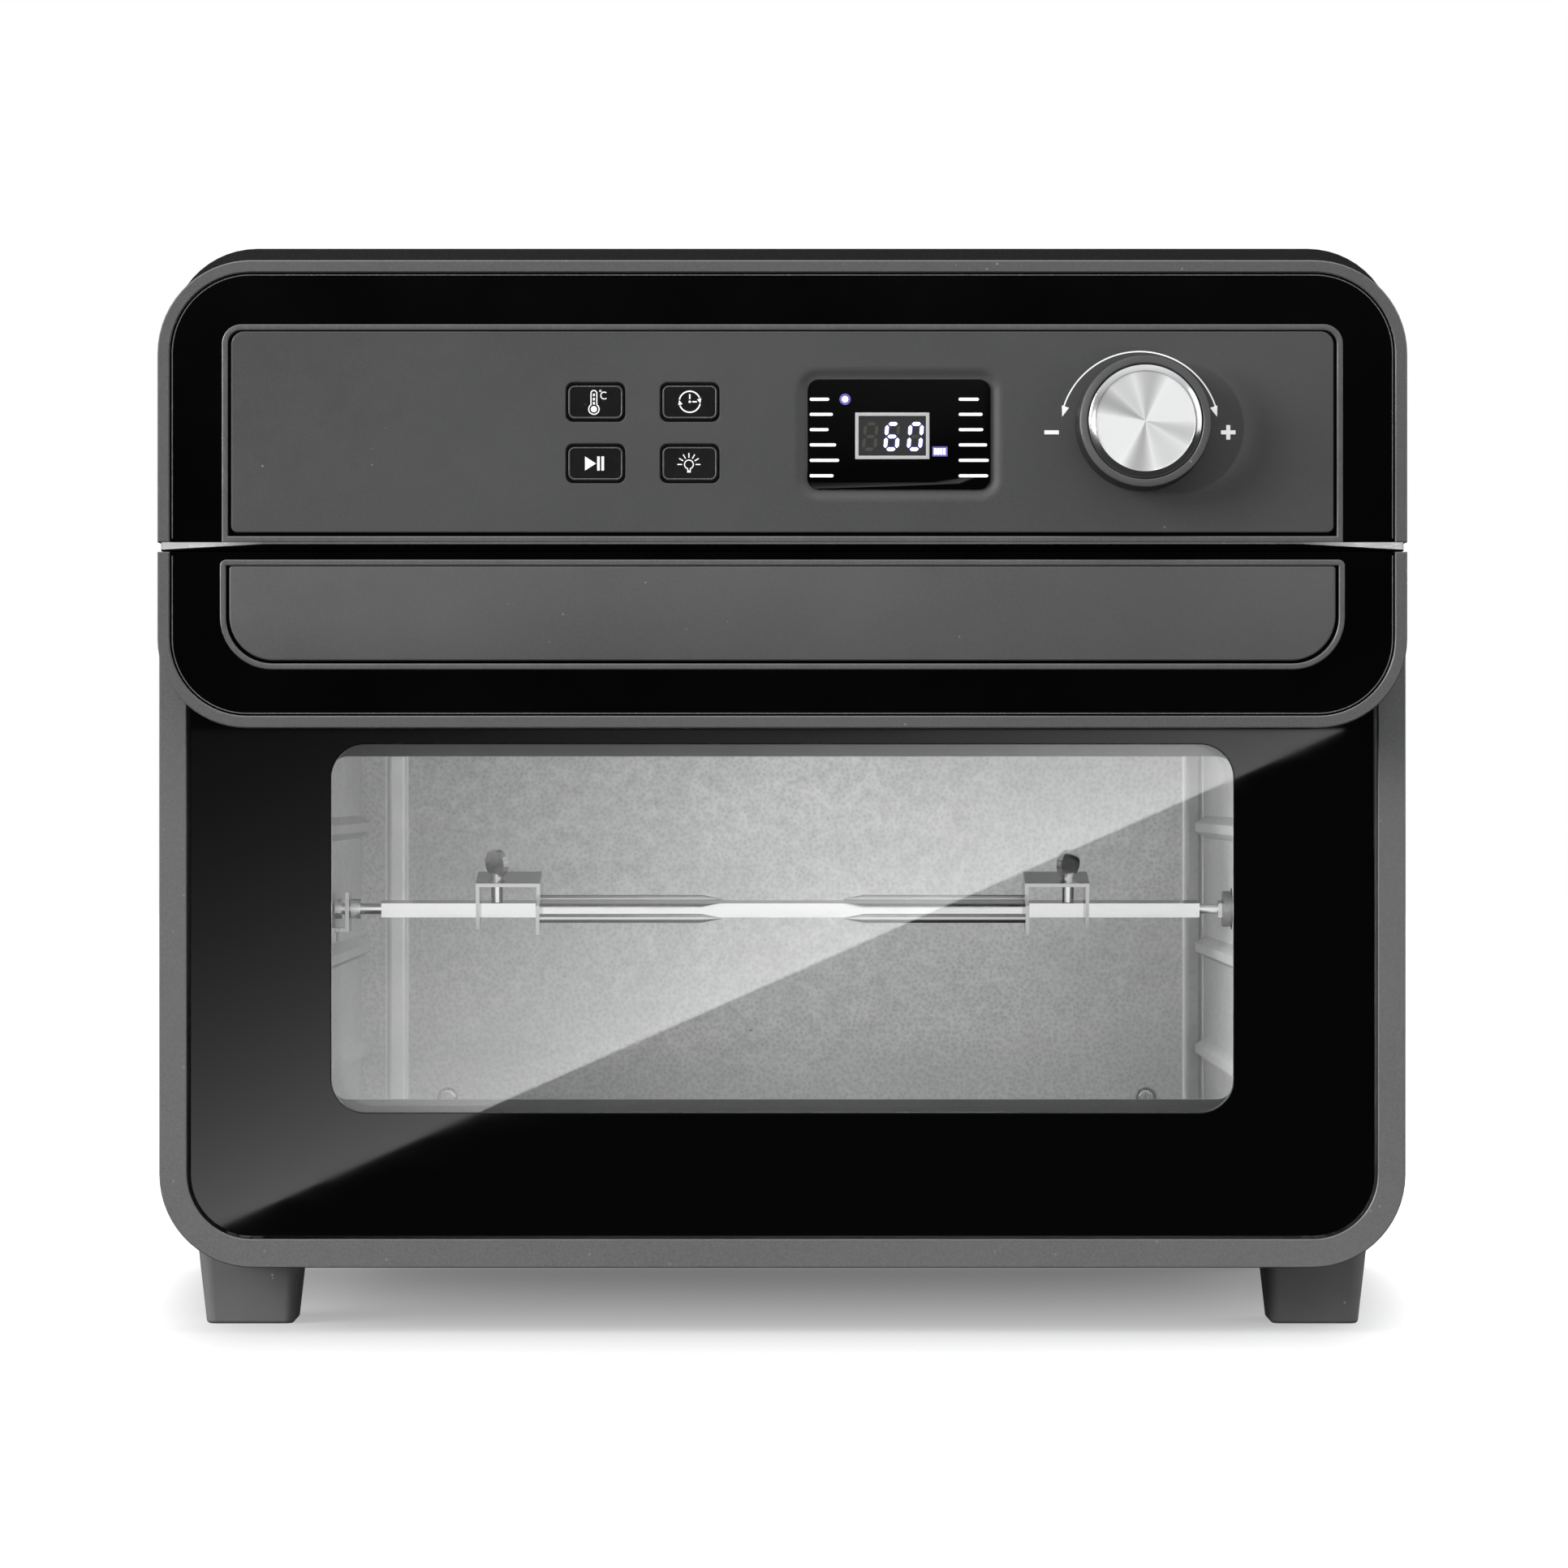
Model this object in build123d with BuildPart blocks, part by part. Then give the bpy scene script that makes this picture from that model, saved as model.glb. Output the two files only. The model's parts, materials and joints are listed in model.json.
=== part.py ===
from build123d import *
import os

# Countertop air-fryer oven with a drop-down glass door, a rotisserie and a front control block.
# Millimetres. +X right, -Y front, +Z up. Origin: middle of the footprint, on the table.

# --- Driving dimensions ---------------------------------------------------------------------

DOOR_FRONT = -143.5
DOOR_BACK = -118.5
DOOR_HALF_WIDTH = 192.0
DOOR_BOTTOM = 20.6
DOOR_TOP = 238.0
DOOR_CORNER = 28.75
DOOR_BAND = 8.5
HINGE_Y = DOOR_FRONT + 10.0
HINGE_Z = 29.6

BLOCK_FRONT = DOOR_FRONT - 22.0
BLOCK_HALF_WIDTH = 190.3
BLOCK_BAND = 3.7
BEZEL_FRONT = BLOCK_FRONT + 0.5
POCKET_DEPTH = 1.4
POCKET_FLOOR = BEZEL_FRONT + POCKET_DEPTH
INLAY_FRONT = BEZEL_FRONT + 0.1
HANDLE_BOTTOM = 186.65
HANDLE_TOP = 240.3
HANDLE_CORNER = 27.2
CONTROL_BOTTOM = 243.2
CONTROL_TOP = 329.1
CONTROL_CORNER = 28.4

HOUSING_FRONT = -116.5
HOUSING_BACK = 173.5
HOUSING_HALF_WIDTH = 191.0
HOUSING_BOTTOM = 21.6
HOUSING_TOP = 336.8
HOUSING_BOTTOM_CORNER = 28.0
HOUSING_TOP_CORNER = 27.0
SHEET = 1.0
SPACER_REACH = 8.0
REAR_OPENING = (178.0, 34.0, 324.0)
BELLY_HALF_WIDTH = 150.0
PAN_HALF_WIDTH = 160.0
PAN_LIP = 12.0

CAVITY_HALF_WIDTH = 150.0
CAVITY_FRONT = HOUSING_FRONT + SHEET
CAVITY_BACK = 156.5
CAVITY_FLOOR = 40.0
CAVITY_CEILING = 238.0
CAVITY_SHEET = 0.8
MOUTH_TOP = 232.0
GUIDE_LEVELS = (76.0, 112.0, 154.4, 196.0)
RIB_SPANS = ((-140.7, -133.7), (143.0, 149.4))

SPIT_Y = 20.0
SPIT_Z = 127.9
SPIT_SQUARE = 4.8
SPIT_TURN = 12.0
SHANK_RADIUS = 1.86
SOCKET_RADIUS = 6.0
SOCKET_START = 147.0
SPIT_SHOULDER = -133.9
SPIT_NECK = (139.2, 145.4)
SPIT_TAIL = -149.4
COLLAR_RADIUS = 3.37
BRACKET_X = (-145.6, -144.4)
BRACKET_FOOT = 120.4
PRONG_ROOT = 27.0
FORK_INNER = 80.6
FORK_OUTER = 102.0
FORK_SCREW_X = 95.3
FORK_SHEET = 1.2
FORK_TOP = 138.6
FORK_FOOT = 122.9
PRONG_OFFSET = 14.0
PRONG_RADIUS = 1.5
RUNNING_GAP = 0.05

FAN_Y = 20.0
FAN_COVER_RADIUS = 88.0
FAN_COVER_BOTTOM = 212.0
HEAT_SHIELD_TOP = 252.0
FAN_MOTOR_HEIGHT = 36.0
FAN_WHEEL_BOTTOM = 219.0
COOLING_WHEEL_BOTTOM = 241.0
SHAFT_RADIUS = 3.0
HEATER_RADIUS = 3.25
UPPER_HEATER_RING = 105.0
UPPER_HEATER_Z = 222.0
LOWER_HEATER_Z = 54.0

BUTTON_X = (-56.9, -28.2)
BUTTON_Z = (285.9, 267.2)
BUTTON_SIZE = (16.5, 10.0)
WELL_SIZE = (18.0, 11.9)
BUTTON_TRAVEL = 0.8
DISPLAY_CENTRE = (35.5, 276.1)
DISPLAY_SIZE = (56.1, 33.8)
KNOB_CENTRE = (109.6, 279.2)
KNOB_RADIUS = 20.5
KNOB_FRONT = -182.5
CAP_RADIUS = 17.1
BOARD_FRONT = -150.0

LAMP_Y = 70.0
LAMP_Z = 205.0
LAMP_SEAT = -178.0
GLAND_X = -150.0
GLAND_Z = 60.0
FOOT_X = 167.3
FOOT_Y = (-92.0, 132.0)
SCREW_SHANK = 1.5
SCREW_HOLE = 1.6
REAR_SCREW_X = 184.0
REAR_SCREW_Z = (80.0, 180.0, 280.0)
WALL_SCREWS = ((-119.3, 58.0), (129.4, 58.0))
HANDLE_SCREW_X = (-140.0, -60.0, 60.0, 140.0)
HANDLE_SCREW_Z = 214.0


# --- Shapes used again and again ------------------------------------------------------------


def facing_front(y):
    """Plane at one depth, seen from the front: X to the right, Z up, extruding forwards."""
    return Plane(origin=(0, y, 0), x_dir=(1, 0, 0), z_dir=(0, -1, 0))


def facing_right(x):
    """Plane at one width, seen from the right: Y to the right, Z up, extruding to the right."""
    return Plane(origin=(x, 0, 0), x_dir=(0, 1, 0), z_dir=(1, 0, 0))


def slab(front, back, half_width, bottom, top, bottom_radius=0, top_radius=0, mode=Mode.ADD):
    """Plate between two depths, centred left to right, with rounded lower and upper corners."""
    with BuildSketch(facing_front(back)) as face:
        with Locations((0, (bottom + top) / 2)):
            Rectangle(2 * half_width, top - bottom)
        if bottom_radius > 0:
            fillet(face.vertices().group_by(Axis.Y)[0], bottom_radius)
        if top_radius > 0:
            fillet(face.vertices().group_by(Axis.Y)[-1], top_radius)
    extrude(face.sketch, amount=back - front, mode=mode)


def block(x_limits, y_limits, z_limits, mode=Mode.ADD):
    """Rectangular block between three pairs of limits."""
    with BuildSketch(Plane.XY.offset(z_limits[0])) as base:
        with Locations((sum(x_limits) / 2, sum(y_limits) / 2)):
            Rectangle(x_limits[1] - x_limits[0], y_limits[1] - y_limits[0])
    extrude(base.sketch, amount=z_limits[1] - z_limits[0], mode=mode)


def key_shape(centre, size, corner, front, back, mode=Mode.ADD):
    """Small rounded rectangle on the front, centre given as X and Z."""
    with BuildSketch(facing_front(back)) as face:
        with Locations(centre):
            RectangleRounded(size[0], size[1], corner)
    extrude(face.sketch, amount=back - front, mode=mode)


def bar_x(start, end, centre, radius, mode=Mode.ADD):
    """Round bar along X, centre given as Y and Z."""
    with BuildSketch(facing_right(start)) as end_face:
        with Locations(centre):
            Circle(radius)
    extrude(end_face.sketch, amount=end - start, mode=mode)


def bar_y(front, back, centre, radius, mode=Mode.ADD):
    """Round bar along Y, centre given as X and Z."""
    with BuildSketch(facing_front(back)) as end_face:
        with Locations(centre):
            Circle(radius)
    extrude(end_face.sketch, amount=back - front, mode=mode)


def bar_z(bottom, top, centre, radius, mode=Mode.ADD):
    """Round bar along Z, centre given as X and Y."""
    with BuildSketch(Plane.XY.offset(bottom)) as end_face:
        with Locations(centre):
            Circle(radius)
    extrude(end_face.sketch, amount=top - bottom, mode=mode)


def square_bar(start, end, side, mode=Mode.ADD):
    """Square bar on the spit's axis."""
    with BuildSketch(facing_right(start)) as end_face:
        with Locations((SPIT_Y, SPIT_Z)):
            Rectangle(side, side)
    extrude(end_face.sketch, amount=end - start, mode=mode)


def span(side, near, far):
    """X limits of something between two distances from the middle, on one side (-1 or 1)."""
    return tuple(sorted((side * near, side * far)))


def save(piece, name):
    """Label a finished piece and write its STEP file."""
    piece.part.label = name
    export_step(piece.part, "parts/" + name + ".step")


def save_turned(piece, name):
    """Save a piece of the spit turned about its axis, to the angle at which the spit rests."""
    turned = piece.part.rotate(Axis((0, SPIT_Y, SPIT_Z), (1, 0, 0)), SPIT_TURN)
    turned.label = name
    export_step(turned, "parts/" + name + ".step")


os.makedirs("parts", exist_ok=True)

# Material outside the circle that the door's lower rear edge sweeps around the hinge.
SWEEP_RADIUS = 16.1
sweep_box = Pos(0, HINGE_Y + 15, HINGE_Z - 10) * Box(400, 30, 20)
sweep_round = Pos(0, HINGE_Y, HINGE_Z) * Rot(0, 90, 0) * Cylinder(SWEEP_RADIUS, 402)
sweep_waste = sweep_box - sweep_round


# --- Outer housing --------------------------------------------------------------------------

VENT_Y = 105.0
VENT_Z = 285.0
VENT_PITCH = 9.0

with BuildPart() as housing_wrap:
    outer = (HOUSING_HALF_WIDTH, HOUSING_BOTTOM, HOUSING_TOP)
    slab(HOUSING_FRONT, HOUSING_BACK, *outer, HOUSING_BOTTOM_CORNER, HOUSING_TOP_CORNER)
    slab(
        HOUSING_FRONT, HOUSING_BACK - SHEET, HOUSING_HALF_WIDTH - SHEET,
        HOUSING_BOTTOM + SHEET, HOUSING_TOP - SHEET,
        HOUSING_BOTTOM_CORNER - SHEET, HOUSING_TOP_CORNER - SHEET, Mode.SUBTRACT,
    )
    slab(HOUSING_BACK - SHEET, HOUSING_BACK, *REAR_OPENING, 16, 16, Mode.SUBTRACT)
    belly = (-BELLY_HALF_WIDTH, BELLY_HALF_WIDTH)
    block(belly, (HOUSING_FRONT, HOUSING_BACK - 12), (20, 30), Mode.SUBTRACT)
    with BuildSketch(facing_right(-200)) as side_vents:
        with Locations((VENT_Y, VENT_Z)):
            with GridLocations(VENT_PITCH, 34, 10, 2):
                SlotOverall(26, 3.2, rotation=90)
    extrude(side_vents.sketch, amount=400, mode=Mode.SUBTRACT)
    for side in (-1, 1):
        for height in REAR_SCREW_Z:
            bar_y(HOUSING_BACK - 2, HOUSING_BACK, (side * REAR_SCREW_X, height), SCREW_HOLE, Mode.SUBTRACT)
save(housing_wrap, "housing_wrap")

with BuildPart() as base_pan:
    pan_bottom = HOUSING_BOTTOM + SHEET
    pan_width = (-PAN_HALF_WIDTH, PAN_HALF_WIDTH)
    block(pan_width, (HOUSING_FRONT + SHEET, HOUSING_BACK - SHEET), (pan_bottom, pan_bottom + SHEET))
    for front in (HOUSING_FRONT + SHEET, HOUSING_BACK - 2 * SHEET):
        block(pan_width, (front, front + SHEET), (pan_bottom, pan_bottom + PAN_LIP))
    with BuildSketch(Plane.XY.offset(pan_bottom)) as floor_vents:
        with Locations((0, 30)):
            with GridLocations(60, 12, 4, 12):
                SlotOverall(42, 4)
    extrude(floor_vents.sketch, amount=SHEET, mode=Mode.SUBTRACT)
save(base_pan, "base_pan")

with BuildPart() as rear_panel:
    outer = (HOUSING_HALF_WIDTH, HOUSING_BOTTOM, HOUSING_TOP)
    slab(HOUSING_BACK, HOUSING_BACK + SHEET, *outer, HOUSING_BOTTOM_CORNER, HOUSING_TOP_CORNER)
    for side in (-1, 1):
        bar_y(HOUSING_BACK + SHEET, HOUSING_BACK + SHEET + SPACER_REACH, (side * 120, 255), 10)
    front_rims = rear_panel.edges().filter_by(GeomType.CIRCLE).group_by(Axis.Y)[-1]
    fillet(front_rims, 2)
    with BuildSketch(facing_front(HOUSING_BACK + SHEET)) as rear_vents:
        with Locations((0, 285), (0, 150)):
            with GridLocations(14, 10, 15, 5):
                SlotOverall(11, 3.2)
    extrude(rear_vents.sketch, amount=SHEET, mode=Mode.SUBTRACT)
    bar_y(HOUSING_BACK, HOUSING_BACK + SHEET, (GLAND_X, GLAND_Z), 7, Mode.SUBTRACT)
    for side in (-1, 1):
        for height in REAR_SCREW_Z:
            hole_centre = (side * REAR_SCREW_X, height)
            bar_y(HOUSING_BACK, HOUSING_BACK + SHEET, hole_centre, SCREW_HOLE, Mode.SUBTRACT)
save(rear_panel, "rear_panel")

with BuildPart() as cord_gland:
    gland = (GLAND_X, GLAND_Z)
    bar_y(HOUSING_BACK - 6, HOUSING_BACK + SHEET, gland, 6.9)
    bar_y(HOUSING_BACK + SHEET, HOUSING_BACK + SHEET + 3, gland, 10)
    bar_y(HOUSING_BACK + SHEET, HOUSING_BACK + SHEET + 7, gland, 6.5)
    bar_y(HOUSING_BACK - 6, HOUSING_BACK, gland, 9)
    bar_y(HOUSING_BACK - 6, HOUSING_BACK + SHEET + 7, gland, 3.6, Mode.SUBTRACT)
save(cord_gland, "cord_gland")

HINGE_ARM_X = (164.5, 167.5)
HINGE_ARM_HALF = 4.5

with BuildPart() as front_plate:
    slab(
        HOUSING_FRONT, HOUSING_FRONT + SHEET, HOUSING_HALF_WIDTH - SHEET,
        HOUSING_BOTTOM + SHEET, HOUSING_TOP - SHEET,
        HOUSING_BOTTOM_CORNER - SHEET, HOUSING_TOP_CORNER - SHEET,
    )
    mouth = (CAVITY_HALF_WIDTH, CAVITY_FLOOR, MOUTH_TOP)
    slab(HOUSING_FRONT, HOUSING_FRONT + SHEET, *mouth, 4, 4, Mode.SUBTRACT)
    slab(HOUSING_FRONT, HOUSING_FRONT + SHEET, 70, 262, 300, 5, 5, Mode.SUBTRACT)
    for side in (-1, 1):
        arm_slot = span(side, HINGE_ARM_X[0] - 0.5, HINGE_ARM_X[1] + 0.5)
        slot_heights = (HINGE_Z - 5, HINGE_Z + 5)
        block(arm_slot, (HOUSING_FRONT, HOUSING_FRONT + SHEET), slot_heights, Mode.SUBTRACT)
save(front_plate, "front_plate")

with BuildPart() as housing_round:
    outer = (HOUSING_HALF_WIDTH, HOUSING_BOTTOM, HOUSING_TOP)
    slab(HOUSING_FRONT, HOUSING_BACK, *outer, HOUSING_BOTTOM_CORNER, HOUSING_TOP_CORNER)

with BuildPart() as feet:
    for side in (-1, 1):
        for depth in FOOT_Y:
            with BuildSketch(Plane.XY) as sole:
                with Locations((side * FOOT_X, depth)):
                    RectangleRounded(27.5, 26, 3)
            with BuildSketch(Plane.XY.offset(34)) as shoulder:
                with Locations((side * FOOT_X, depth)):
                    RectangleRounded(35, 33, 5)
            loft([sole.sketch.face(), shoulder.sketch.face()])
    add(housing_round.part, mode=Mode.SUBTRACT)
    fillet(feet.edges().group_by(Axis.Z)[0], 1.2)
save(feet, "feet")


def dome_screw(centre, head_seat, toward):
    """Screw with a domed head standing on a sheet, its shank running the other way."""
    tip = head_seat - toward * 7
    crown = head_seat + toward * 2.4
    bar_y(min(tip, head_seat), max(tip, head_seat), centre, SCREW_SHANK)
    bar_y(min(crown, head_seat), max(crown, head_seat), centre, 3.6)


with BuildPart() as body_screws:
    for side in (-1, 1):
        for height in REAR_SCREW_Z:
            dome_screw((side * REAR_SCREW_X, height), HOUSING_BACK + SHEET, 1)
    fillet(body_screws.edges().filter_by(GeomType.CIRCLE).group_by(Axis.Y)[-1], 1.5)
    for wall_screw in WALL_SCREWS:
        dome_screw(wall_screw, CAVITY_BACK, -1)
    fillet(body_screws.edges().filter_by(GeomType.CIRCLE).group_by(Axis.Y)[0], 1.5)
save(body_screws, "body_screws")


# --- Oven cavity ----------------------------------------------------------------------------

SIDE_HEATER_Y = (-30.0, 70.0)
HEATER_LEG_X = 12.0
FERRULE_RADIUS = 4.0
LAMP_HOLE = 16.0
LAMP_FLANGE = LAMP_HOLE + 3.0

with BuildPart() as cavity_wrapper:
    outer_half = CAVITY_HALF_WIDTH + CAVITY_SHEET
    wall_bottom = CAVITY_FLOOR - CAVITY_SHEET
    wall_top = CAVITY_CEILING + CAVITY_SHEET
    slab(CAVITY_FRONT, CAVITY_BACK, outer_half, wall_bottom, wall_top)
    slab(CAVITY_FRONT, CAVITY_BACK, CAVITY_HALF_WIDTH, wall_bottom, CAVITY_CEILING, 0, 0, Mode.SUBTRACT)
    for side in (-1, 1):
        for level in GUIDE_LEVELS:
            wall = side * CAVITY_HALF_WIDTH
            crest = side * (CAVITY_HALF_WIDTH - 3.8)
            with BuildSketch(facing_front(CAVITY_BACK - 12)) as guide:
                with BuildLine():
                    Polyline(
                        (wall, level - 4), (crest, level - 1.5), (crest, level + 1.5),
                        (wall, level + 4), close=True,
                    )
                make_face()
            extrude(guide.sketch, amount=CAVITY_BACK - CAVITY_FRONT - 20)
    spit_point = (SPIT_Y, SPIT_Z)
    bar_x(CAVITY_HALF_WIDTH - 5, outer_half, spit_point, SOCKET_RADIUS + 1, Mode.SUBTRACT)
    lamp_point = (LAMP_Y, LAMP_Z)
    bar_x(-outer_half, -CAVITY_HALF_WIDTH, lamp_point, LAMP_HOLE, Mode.SUBTRACT)
    bar_x(-CAVITY_HALF_WIDTH, 5 - CAVITY_HALF_WIDTH, lamp_point, LAMP_FLANGE + 0.5, Mode.SUBTRACT)
    for depth in SIDE_HEATER_Y:
        heater_hole = HEATER_RADIUS + RUNNING_GAP
        bar_x(-outer_half, 5 - CAVITY_HALF_WIDTH, (depth, LOWER_HEATER_Z), heater_hole, Mode.SUBTRACT)
    for side in (-1, 1):
        leg_centre = (side * HEATER_LEG_X, FAN_Y + (UPPER_HEATER_RING**2 - HEATER_LEG_X**2) ** 0.5)
        bar_z(CAVITY_CEILING, wall_top, leg_centre, FERRULE_RADIUS + RUNNING_GAP, Mode.SUBTRACT)
    bar_z(CAVITY_CEILING, wall_top, (0, FAN_Y), SHAFT_RADIUS + 2, Mode.SUBTRACT)
save(cavity_wrapper, "cavity_wrapper")

PROBE = (60.0, 224.0)

with BuildPart() as cavity_back_wall:
    back_edge = CAVITY_BACK + CAVITY_SHEET
    slab(CAVITY_BACK, back_edge, outer_half, wall_bottom, wall_top)
    for rib in RIB_SPANS:
        block(rib, (CAVITY_BACK - 2, CAVITY_BACK), (CAVITY_FLOOR + 8, CAVITY_CEILING - 8))
    rib_edges = cavity_back_wall.edges().filter_by(Axis.Z).group_by(Axis.Y)[0]
    fillet(rib_edges, 1.8)
    for wall_screw in WALL_SCREWS:
        bar_y(CAVITY_BACK, back_edge, wall_screw, SCREW_HOLE, Mode.SUBTRACT)
    bar_y(CAVITY_BACK, back_edge, PROBE, 3, Mode.SUBTRACT)
save(cavity_back_wall, "cavity_back_wall")

with BuildPart() as cavity_floor:
    floor_depths = (CAVITY_FRONT, CAVITY_BACK)
    block((-CAVITY_HALF_WIDTH, CAVITY_HALF_WIDTH), floor_depths, (wall_bottom, CAVITY_FLOOR))
save(cavity_floor, "cavity_floor")

with BuildPart() as crumb_tray:
    tray_half = 145.0
    tray_depths = (CAVITY_FRONT + 3, CAVITY_BACK - 5)
    block((-tray_half, tray_half), tray_depths, (CAVITY_FLOOR, CAVITY_FLOOR + 7))
    fillet(crumb_tray.edges().filter_by(Axis.Z), 6)
    inner_depths = (tray_depths[0] + 1, tray_depths[1] - 1)
    inner_heights = (CAVITY_FLOOR + 1, CAVITY_FLOOR + 7)
    block((1 - tray_half, tray_half - 1), inner_depths, inner_heights, Mode.SUBTRACT)
    block((-40, 40), (tray_depths[0] - 2, tray_depths[0] + 1), (CAVITY_FLOOR + 6, CAVITY_FLOOR + 7))
save(crumb_tray, "crumb_tray")


# --- Heating and air ------------------------------------------------------------------------

with BuildPart() as fan_cover:
    bar_z(FAN_COVER_BOTTOM, CAVITY_CEILING, (0, FAN_Y), FAN_COVER_RADIUS)
    fillet(fan_cover.edges().group_by(Axis.Z)[0], 5)
    offset(amount=-1, openings=fan_cover.faces().sort_by(Axis.Z)[-1])
    for ring, count in ((22, 8), (40, 16), (58, 24)):
        with BuildSketch(Plane.XY.offset(FAN_COVER_BOTTOM)) as intake:
            with Locations((0, FAN_Y)):
                with PolarLocations(ring, count):
                    SlotOverall(13, 4)
        extrude(intake.sketch, amount=1, mode=Mode.SUBTRACT)
    for turn in range(12):
        outward = Vector(1, 0, 0).rotate(Axis.Z, 30 * turn + 15)
        outlet = Plane(origin=(0, FAN_Y, 226), x_dir=(0, 0, 1), z_dir=outward)
        with BuildSketch(outlet) as side_outlet:
            SlotOverall(14, 6)
        extrude(side_outlet.sketch, amount=FAN_COVER_RADIUS + 1, mode=Mode.SUBTRACT)
save(fan_cover, "fan_cover")

with BuildPart() as upper_heater:
    leg_y = FAN_Y + (UPPER_HEATER_RING**2 - HEATER_LEG_X**2) ** 0.5
    with BuildLine() as ring_path:
        ring_front = (0, FAN_Y - UPPER_HEATER_RING, UPPER_HEATER_Z)
        ring_end = (-HEATER_LEG_X, leg_y, UPPER_HEATER_Z)
        ThreePointArc((HEATER_LEG_X, leg_y, UPPER_HEATER_Z), ring_front, ring_end)
    ring_start = Plane(origin=ring_path.line @ 0, z_dir=ring_path.line % 0)
    with BuildSketch(ring_start) as tube_section:
        Circle(HEATER_RADIUS)
    sweep(tube_section.sketch, path=ring_path.wire())
    for side in (-1, 1):
        ferrule_bottom = UPPER_HEATER_Z - FERRULE_RADIUS
        bar_z(ferrule_bottom, CAVITY_CEILING + 9, (side * HEATER_LEG_X, leg_y), FERRULE_RADIUS)
save(upper_heater, "upper_heater")

with BuildPart() as lower_heater:
    bend_radius = (SIDE_HEATER_Y[1] - SIDE_HEATER_Y[0]) / 2
    bend_y = sum(SIDE_HEATER_Y) / 2
    bend_x = 80.0
    with BuildLine() as heater_path:
        start = (-CAVITY_HALF_WIDTH - 12, SIDE_HEATER_Y[0], LOWER_HEATER_Z)
        out_run = Line(start, (bend_x, SIDE_HEATER_Y[0], LOWER_HEATER_Z))
        turn_mid = (bend_x + bend_radius, bend_y, LOWER_HEATER_Z)
        turn = ThreePointArc(out_run @ 1, turn_mid, (bend_x, SIDE_HEATER_Y[1], LOWER_HEATER_Z))
        Line(turn @ 1, (-CAVITY_HALF_WIDTH - 12, SIDE_HEATER_Y[1], LOWER_HEATER_Z))
    with BuildSketch(facing_right(start[0])) as heater_section:
        with Locations((SIDE_HEATER_Y[0], LOWER_HEATER_Z)):
            Circle(HEATER_RADIUS)
    sweep(heater_section.sketch, path=heater_path.wire())
save(lower_heater, "lower_heater")

with BuildPart() as heat_shield:
    shield_depths = (-100, 150)
    block((-150, 150), shield_depths, (HEAT_SHIELD_TOP - SHEET, HEAT_SHIELD_TOP))
    for side in (-1, 1):
        block(span(side, 149, 150), shield_depths, (wall_top, HEAT_SHIELD_TOP - SHEET))
    bar_z(HEAT_SHIELD_TOP - SHEET, HEAT_SHIELD_TOP, (0, FAN_Y), SHAFT_RADIUS + 2, Mode.SUBTRACT)
save(heat_shield, "heat_shield")

with BuildPart() as fan_motor:
    bar_z(HEAT_SHIELD_TOP, HEAT_SHIELD_TOP + FAN_MOTOR_HEIGHT, (0, FAN_Y), 30)
    fillet(fan_motor.edges().group_by(Axis.Z)[-1], 3)
    block((-44, 44), (FAN_Y - 9, FAN_Y + 9), (HEAT_SHIELD_TOP, HEAT_SHIELD_TOP + 3))
    shaft_bore = SHAFT_RADIUS + RUNNING_GAP
    bar_z(HEAT_SHIELD_TOP, HEAT_SHIELD_TOP + 30, (0, FAN_Y), shaft_bore, Mode.SUBTRACT)
save(fan_motor, "fan_motor")

with BuildPart() as fan_shaft:
    bar_z(FAN_WHEEL_BOTTOM - 2, HEAT_SHIELD_TOP + 29, (0, FAN_Y), SHAFT_RADIUS)
save(fan_shaft, "fan_shaft")


def bladed_wheel(bottom, height, hub, rim, count, pitch):
    """Fan wheel on the fan's axis: a hub with upright blades, turned by a pitch angle."""
    bar_z(bottom, bottom + height, (0, FAN_Y), hub)
    for blade in range(count):
        plane = Plane(origin=(0, FAN_Y, bottom)).rotated((0, 0, 360 * blade / count))
        with BuildSketch(plane) as vane:
            with Locations(((hub + rim) / 2 - 1, 0)):
                Rectangle(rim - hub + 2, 1.2, rotation=pitch)
        extrude(vane.sketch, amount=height)
    bar_z(bottom, bottom + height, (0, FAN_Y), SHAFT_RADIUS, Mode.SUBTRACT)


with BuildPart() as fan_blade:
    bar_z(FAN_WHEEL_BOTTOM, FAN_WHEEL_BOTTOM + 1, (0, FAN_Y), 52)
    bladed_wheel(FAN_WHEEL_BOTTOM, 13, 8, 52, 8, 12)
save(fan_blade, "fan_blade")

with BuildPart() as cooling_fan:
    bladed_wheel(COOLING_WHEEL_BOTTOM, 7, 8, 48, 10, 10)
save(cooling_fan, "cooling_fan")

with BuildPart() as temperature_sensor:
    bar_y(CAVITY_BACK - 34, CAVITY_BACK + 8, PROBE, 2.5)
    bar_y(CAVITY_BACK + CAVITY_SHEET, CAVITY_BACK + 3, PROBE, 6)
save(temperature_sensor, "temperature_sensor")

with BuildPart() as thermal_cutout:
    cutout_centre = (112, 100)
    bar_z(wall_top, wall_top + 6, cutout_centre, 8)
    bar_z(wall_top + 6, wall_top + 9, cutout_centre, 5)
save(thermal_cutout, "thermal_cutout")

with BuildPart() as lamp_cover:
    bar_x(-CAVITY_HALF_WIDTH, 3 - CAVITY_HALF_WIDTH, (LAMP_Y, LAMP_Z), LAMP_FLANGE)
    bar_x(-CAVITY_HALF_WIDTH - 4, -CAVITY_HALF_WIDTH, (LAMP_Y, LAMP_Z), LAMP_HOLE - 0.2)
    fillet(lamp_cover.edges().filter_by(GeomType.CIRCLE).group_by(Axis.X)[-1], 2)
save(lamp_cover, "lamp_cover")

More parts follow.
